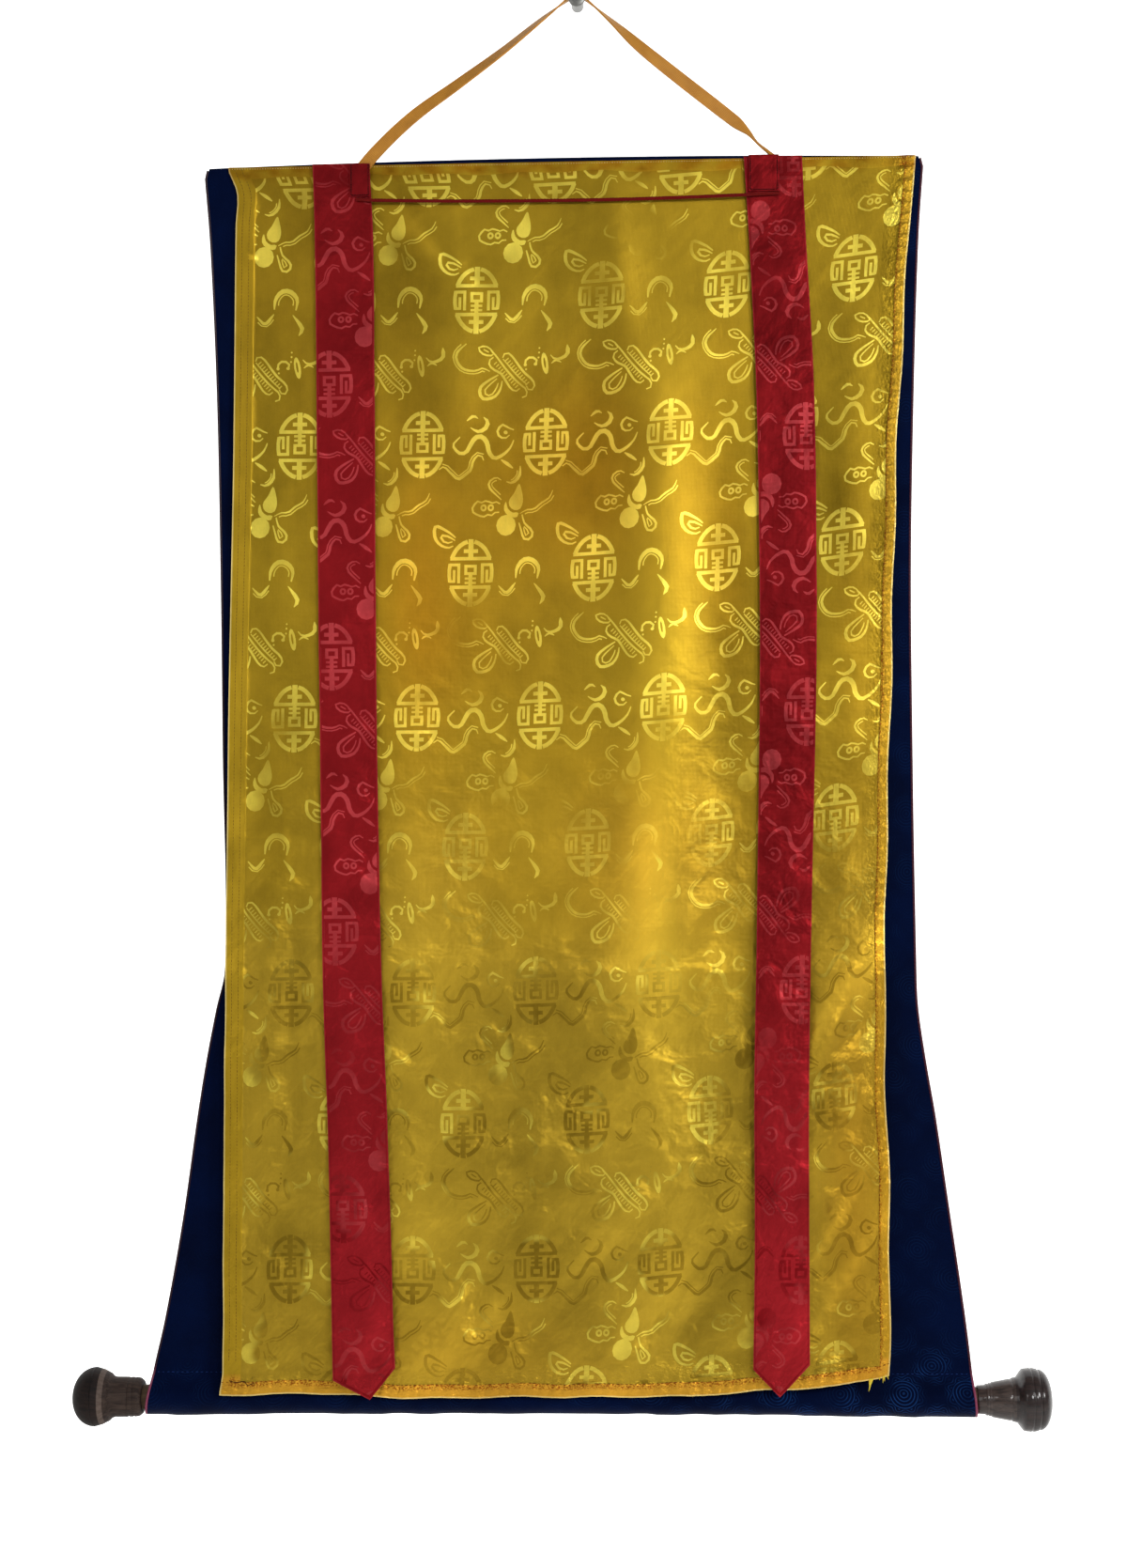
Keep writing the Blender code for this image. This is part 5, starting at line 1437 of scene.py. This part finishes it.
def ribbon_rise(sides, below):
    """How far the cover's ridges push a ribbon out: the highest ridge near this height, evened out."""
    crests = []
    for step in range(-2 * RIBBON_REACH, 2 * RIBBON_REACH + 1):
        at = below + RIBBON_STEP * step
        left, right = read_sides(sides, at)
        crests.append(np.max([main_folds(mix(left, right, share), at) for share in RIBBON_SAMPLES], axis=0))
    window = 2 * RIBBON_REACH + 1
    tops = [np.max(crests[start:start + window], axis=0) for start in range(window)]
    return np.maximum(np.mean(tops, axis=0), 0.0) * ease((below - RIBBON_TOP) / RIBBON_HEAD_FADE)


def ribbon_placer(sides, seed):
    """A placing function for one ribbon, from flat places on it to points of its middle surface."""
    table_below = np.arange(RIBBON_TOP - 12.0, 940.0, 3.0)
    table_rise = ribbon_rise(sides, table_below)

    def place(across, down):
        """Points of the ribbon at flat places on it, pushed out by the ridges of the cover behind."""
        below = RIBBON_TOP + down
        left, right = read_sides(sides, below)
        share = across / RIBBON_WIDE
        cupped = 0.35 * (1.0 - (2.0 * share - 1.0) ** 2)
        uneven = crumple(across, down, seed=seed, waves=14, longest=80.0, height=0.6)
        free = ease((below - RIBBON_TOP - 20.0) / 60.0)
        depth = ribbon_plane(below) + np.interp(below, table_below, table_rise)
        return in_place(mix(left, right, share), depth + (cupped + uneven) * free, below)

    return place


red_silk = damask("red_silk_damask", sheen="#FF8090", ground=("#961E24", "#80171B"),
                  figure=("#781116", "#B23C40"), hem=("#80151A", "#80151A", "#6E1115", "#A02A30"),
                  turn_over=(-0.86, -0.52), crinkled=(0.35, 0.8))
red_thread = thread_material("dark_red_cotton_thread", "#2A0306")
Ribbon = namedtuple("Ribbon", "name node sides foot medallion turned seed")
RIBBONS = (
    Ribbon("red_ribbon_left", "ribbon_left", LEFT_RIBBON_SIDES, LEFT_RIBBON_FOOT, (8.5, 147.5), False, 21),
    Ribbon("red_ribbon_right", "ribbon_right", RIGHT_RIBBON_SIDES, RIGHT_RIBBON_FOOT, (32.0, 186.5),
           True, 22),
)
place_ribbon = {}
for ribbon in RIBBONS:
    place = ribbon_placer(ribbon.sides, ribbon.seed)
    place_ribbon[ribbon.node] = place
    tip = (ribbon.foot[1].x - ribbon.foot[0].x) / (ribbon.foot[2].x - ribbon.foot[0].x)
    shares = np.concatenate((np.linspace(0.0, tip, 7), np.linspace(tip, 1.0, 7)[1:]))
    foot_x = mix(ribbon.foot[0].x, ribbon.foot[2].x, shares)
    ends = np.interp(foot_x, [f.x for f in ribbon.foot], [f.below for f in ribbon.foot]) - RIBBON_TOP
    drops = np.linspace(0.0, 1.0, RIBBON_ROWS + 1)
    ribbon_lattice = spread(shares * RIBBON_WIDE, drops[:, None] * ends)
    field = np.array(((RIBBON_HEM, 0.5), (RIBBON_WIDE - RIBBON_HEM, 0.5),
                      (RIBBON_WIDE - RIBBON_HEM, ends[-1] - RIBBON_HEM),
                      (tip * RIBBON_WIDE, ends.max() - 2.0 * RIBBON_HEM), (RIBBON_HEM, ends[0] - RIBBON_HEM)))
    outlines, holes = lay_figures(RIBBON_WIDE, float(ends.max()), *ribbon.medallion, ribbon.turned)
    flat, triangles, figure_mark, field_mark = weave_figures(ribbon_lattice, field, outlines, holes)
    from_foot = np.interp(flat[:, 0], shares * RIBBON_WIDE, ends) - flat[:, 1]
    from_edge = np.minimum(np.minimum(flat[:, 0], RIBBON_WIDE - flat[:, 0]), from_foot)
    hung = place(flat[:, 0], flat[:, 1])
    tone_and_light = soft_patches(RIBBON_PATCHES, hung[:, 0] / MM, -hung[:, 2] / MM)
    cloth = add_cloth(ribbon.name, hung, facing_of(place, flat), triangles, RIBBON_THICK,
                      np.column_stack((flat, from_edge)), red_silk, tone_and_light, figure=figure_mark,
                      field=field_mark)
    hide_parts(ribbon.node)
    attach(cloth, "root")

# Tie cord
# A thin cord of three dark red cotton strands, twisted together, is stretched across the head of the
# cover from ribbon to ribbon. The rolled-up cover hangs from it when it is raised.
CORD_THICK = 2.5
STRAND_THICK = 1.3
STRAND_TURN = 6.5
STRANDS = 3
STRAND_STEPS = 12
Pass = namedtuple("Pass", "x below depth")
CORD_ROUTE = [Pass(*row) for row in (
    (-147.6, 129.9, 15.3), (-136, 130.8, 15.2), (-70, 132.2, 14.3), (9, 132.8, 14.1), (60, 132.4, 14.3),
    (109, 131.5, 15.2), (132.5, 130.7, 15.3))]
cord_reach = run_length(CORD_ROUTE)
cord_steps = round(cord_reach[-1] / STRAND_TURN * STRAND_STEPS)
cord_run = smooth_run(CORD_ROUTE, np.linspace(0.0, cord_reach[-1], cord_steps + 1))
cord_middle = in_place(cord_run[:, 0], cord_run[:, 2], cord_run[:, 1])
strand_paths = []
for strand in range(STRANDS):
    turn = np.arange(cord_steps + 1) / STRAND_STEPS * math.tau + strand / STRANDS * math.tau
    swing = (CORD_THICK - STRAND_THICK) / 2 * MM
    offset = np.stack((np.zeros(len(turn)), np.cos(turn), np.sin(turn)), axis=1) * swing
    strand_paths.append(cord_middle + offset)
cord_cotton = thread_material("dark_red_cotton_cord", "#74100E")
tie_cord = add_tubes("tie_cord_twisted", strand_paths, STRAND_THICK, 6, cord_cotton)
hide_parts("tie_cord")
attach(tie_cord, "root")

# Tabs
# Small squares of the red damask are sewn over the ends of the cord, one on the head of each ribbon, with
# small dark stitches round their edges.
TAB_THICK = 1.0
TAB_COLUMNS = 13
TAB_ROWS = 17
TAB_BULGE = 0.3
TAB_INSET = 1.0
Tab = namedtuple("Tab", "name node ribbon left right top foot")
TABS = (
    Tab("red_tab_left", "tab_left", "ribbon_left", -152.0, -138.6, 106.2, 128.2),
    Tab("red_tab_right", "tab_right", "ribbon_right", 112.8, 132.6, 104.8, 129.0),
)
tab_layer = {"ribbon_left": LEFT_RIBBON_SIDES, "ribbon_right": RIGHT_RIBBON_SIDES}
for tab in TABS:
    across = np.linspace(tab.left, tab.right, TAB_COLUMNS)
    below = np.linspace(tab.top, tab.foot, TAB_ROWS)[:, None]
    bulge = TAB_BULGE * np.sin(math.pi * np.linspace(0.0, 1.0, TAB_COLUMNS)) \
        * np.sin(math.pi * np.linspace(0.0, 1.0, TAB_ROWS))[:, None]
    rise = ribbon_rise(tab_layer[tab.ribbon], below)
    depth = ribbon_plane(below) + rise + RIBBON_THICK / 2 + LAYER_GAP + TAB_THICK / 2
    lattice = in_place(across, depth + bulge, below)
    places = spread(across + 300.0, below, 5.0).reshape(-1, 3)
    faces = lattice_faces(TAB_ROWS, TAB_COLUMNS)
    # The tabs are darker than the ribbons, with a mottle of painted shade as from small crumples.
    crumple_shade = crumple(places[:, 0], places[:, 1], seed=5, waves=14, longest=16.0, height=0.14) - 0.14
    tone_and_light = np.stack((0.0 * crumple_shade, crumple_shade, 0.0 * crumple_shade), axis=1)
    cloth = add_cloth(tab.name, lattice.reshape(-1, 3), lattice_normals(lattice), faces, TAB_THICK, places,
                      red_silk, tone_and_light, figure=np.zeros(len(faces)), field=np.ones(len(faces)))
    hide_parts(tab.node)
    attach(cloth, "root")
    left, right = tab.left + TAB_INSET, tab.right - TAB_INSET
    top, foot = tab.top + TAB_INSET, tab.foot - TAB_INSET
    corners = ((left, top), (left, foot), (right, foot), (right, top))
    line = np.concatenate([np.linspace(start, end, 12) for start, end in zip(corners, corners[1:])])
    seam_depth = np.interp(line[:, 1], below[:, 0], depth[:, 0]) + TAB_THICK / 2 + 0.1
    seam = in_place(line[:, 0], seam_depth, line[:, 1])
    stitches = sew(tab.name + "_stitches", [seam], pitch=1.6, length=1.7, thickness=0.7, thread=red_thread)
    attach(stitches, "root")

# Wall nail
# A plain drawn steel nail with a low domed head, driven level into the wall. The tape hangs on its shank.
NAIL_REACH = 16.0
NAIL_HEAD_RADIUS = 5.4
NAIL_HEAD_RIM = 0.9
NAIL_HEAD_RISE = 1.1
nail_head = [(NAIL_REACH + NAIL_HEAD_RIM + NAIL_HEAD_RISE * math.sin(angle),
              NAIL_HEAD_RADIUS * math.cos(angle)) for angle in np.linspace(0.0, math.pi / 2, 10)]
nail_head[-1] = (NAIL_REACH + NAIL_HEAD_RIM + NAIL_HEAD_RISE, 0.0)
nail_profile = [(0.0, 0.0), (0.0, NAIL_RADIUS), (NAIL_REACH, NAIL_RADIUS), (NAIL_REACH, NAIL_HEAD_RADIUS)]

# Drawn steel, dulled by handling, with fine scratches along the shank.
steel, add, shader = new_material("drawn_steel", {"Metallic": 1.0})
where = add("TexCoord").outputs["Object"]
drawn = add("Mapping", {"Vector": where, "Scale": (1500.0, 90.0, 1500.0)})
scratches = add("TexNoise", {"Vector": drawn, "Scale": 1.0, "Detail": 4.0})
rough = add("MapRange", [scratches, 0.0, 1.0, 0.28, 0.55])
shade = add("Mix", [scratches, linear("#5E5E5C"), linear("#8E8E8A")], **COLOURS)
plug(shader, {"Roughness": rough, "Base Color": shade})
nail = add_turned("steel_wall_nail", soften(nail_profile, 0.2) + nail_head, 48, (0.0, -1.0, 0.0),
                  (0.0, 0.0, 0.0), steel)
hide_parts("wall_nail")
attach(nail, "root")

# Stage and lights
# A pale floor runs back and up into a pale backdrop. A large soft lamp on the right of the camera gives
# the silk its sheen, weaker ones on the left fill, and the backdrop behind the scroll glows white of
# itself, as painted light.
FLOOR_BELOW = 1500.0
FLOOR_AHEAD = 6000.0
BACKDROP_BEHIND = 4200.0
BACKDROP_CURVE = 1500.0
BACKDROP_HALF = 14000.0
BACKDROP_TOP = 12000.0
sweep = [(-FLOOR_AHEAD, -FLOOR_BELOW), (BACKDROP_BEHIND - BACKDROP_CURVE, -FLOOR_BELOW)]
sweep += [(BACKDROP_BEHIND - BACKDROP_CURVE + BACKDROP_CURVE * math.sin(angle),
           -FLOOR_BELOW + BACKDROP_CURVE * (1.0 - math.cos(angle)))
          for angle in np.linspace(0.1, math.pi / 2, 16)]
sweep.append((BACKDROP_BEHIND, BACKDROP_TOP))
mesh = bpy.data.meshes.new("backdrop")
mesh.from_pydata([(x * MM, y * MM, z * MM) for y, z in sweep for x in (-BACKDROP_HALF, BACKDROP_HALF)], [],
                 [(2 * i, 2 * i + 1, 2 * i + 3, 2 * i + 2) for i in range(len(sweep) - 1)])
mesh.shade_smooth()
# Matt white paint that glows as painted light, more the further back it is.
backdrop_paint, add, shader = new_material("pale_backdrop", {
    "Roughness": 0.95, "Specular IOR Level": 0.0, "Emission Color": (1.0, 1.0, 1.0, 1.0)})
where = add("TexCoord").outputs["Object"]
away = add("SeparateXYZ", [where]).outputs["Y"]
glow = add("MapRange", [away, 0.2, 1.2, 0.1, 0.95], **SOFT_STEP)
plug(shader, {"Emission Strength": glow})
grain = add("TexNoise", {"Scale": 6.0, "Detail": 3.0})
shade = add("Mix", [grain, linear("#F2F2F0"), linear("#FAFAF8")], **COLOURS)
plug(shader, {"Base Color": shade})
mesh.materials.append(backdrop_paint)
backdrop = add_object("backdrop", mesh)

world = bpy.data.worlds.new("white_surroundings")
world.use_nodes = True
plug(world.node_tree.nodes["Background"], {"Color": (1.0, 1.0, 1.0, 1.0), "Strength": 0.22})
bpy.context.scene.world = world
bpy.context.scene.view_settings.view_transform = "Standard"

Lamp = namedtuple("Lamp", "name place aim size power")
LAMPS = (
    Lamp("key_lamp", (1.7, -1.9, 0.35), (0.0, 0.0, -0.5), 0.6, 32.0),
    Lamp("sheen_lamp", (0.85, -2.3, 0.1), (0.0, 0.0, -0.55), 0.35, 10.5),
    Lamp("left_sheen_lamp", (-0.9, -2.2, 0.3), (0.0, 0.0, -0.5), 0.35, 2.2),
    Lamp("fill_lamp", (-1.8, -1.9, -0.1), (0.0, 0.0, -0.5), 1.2, 9.4),
)
for lamp in LAMPS:
    light = bpy.data.lights.new(lamp.name, "AREA")
    light.size = lamp.size
    light.energy = lamp.power
    stand = add_object(lamp.name, light)
    stand.location = lamp.place
    stand.rotation_euler = (Vector(lamp.aim) - Vector(lamp.place)).to_track_quat("-Z", "Y").to_euler()
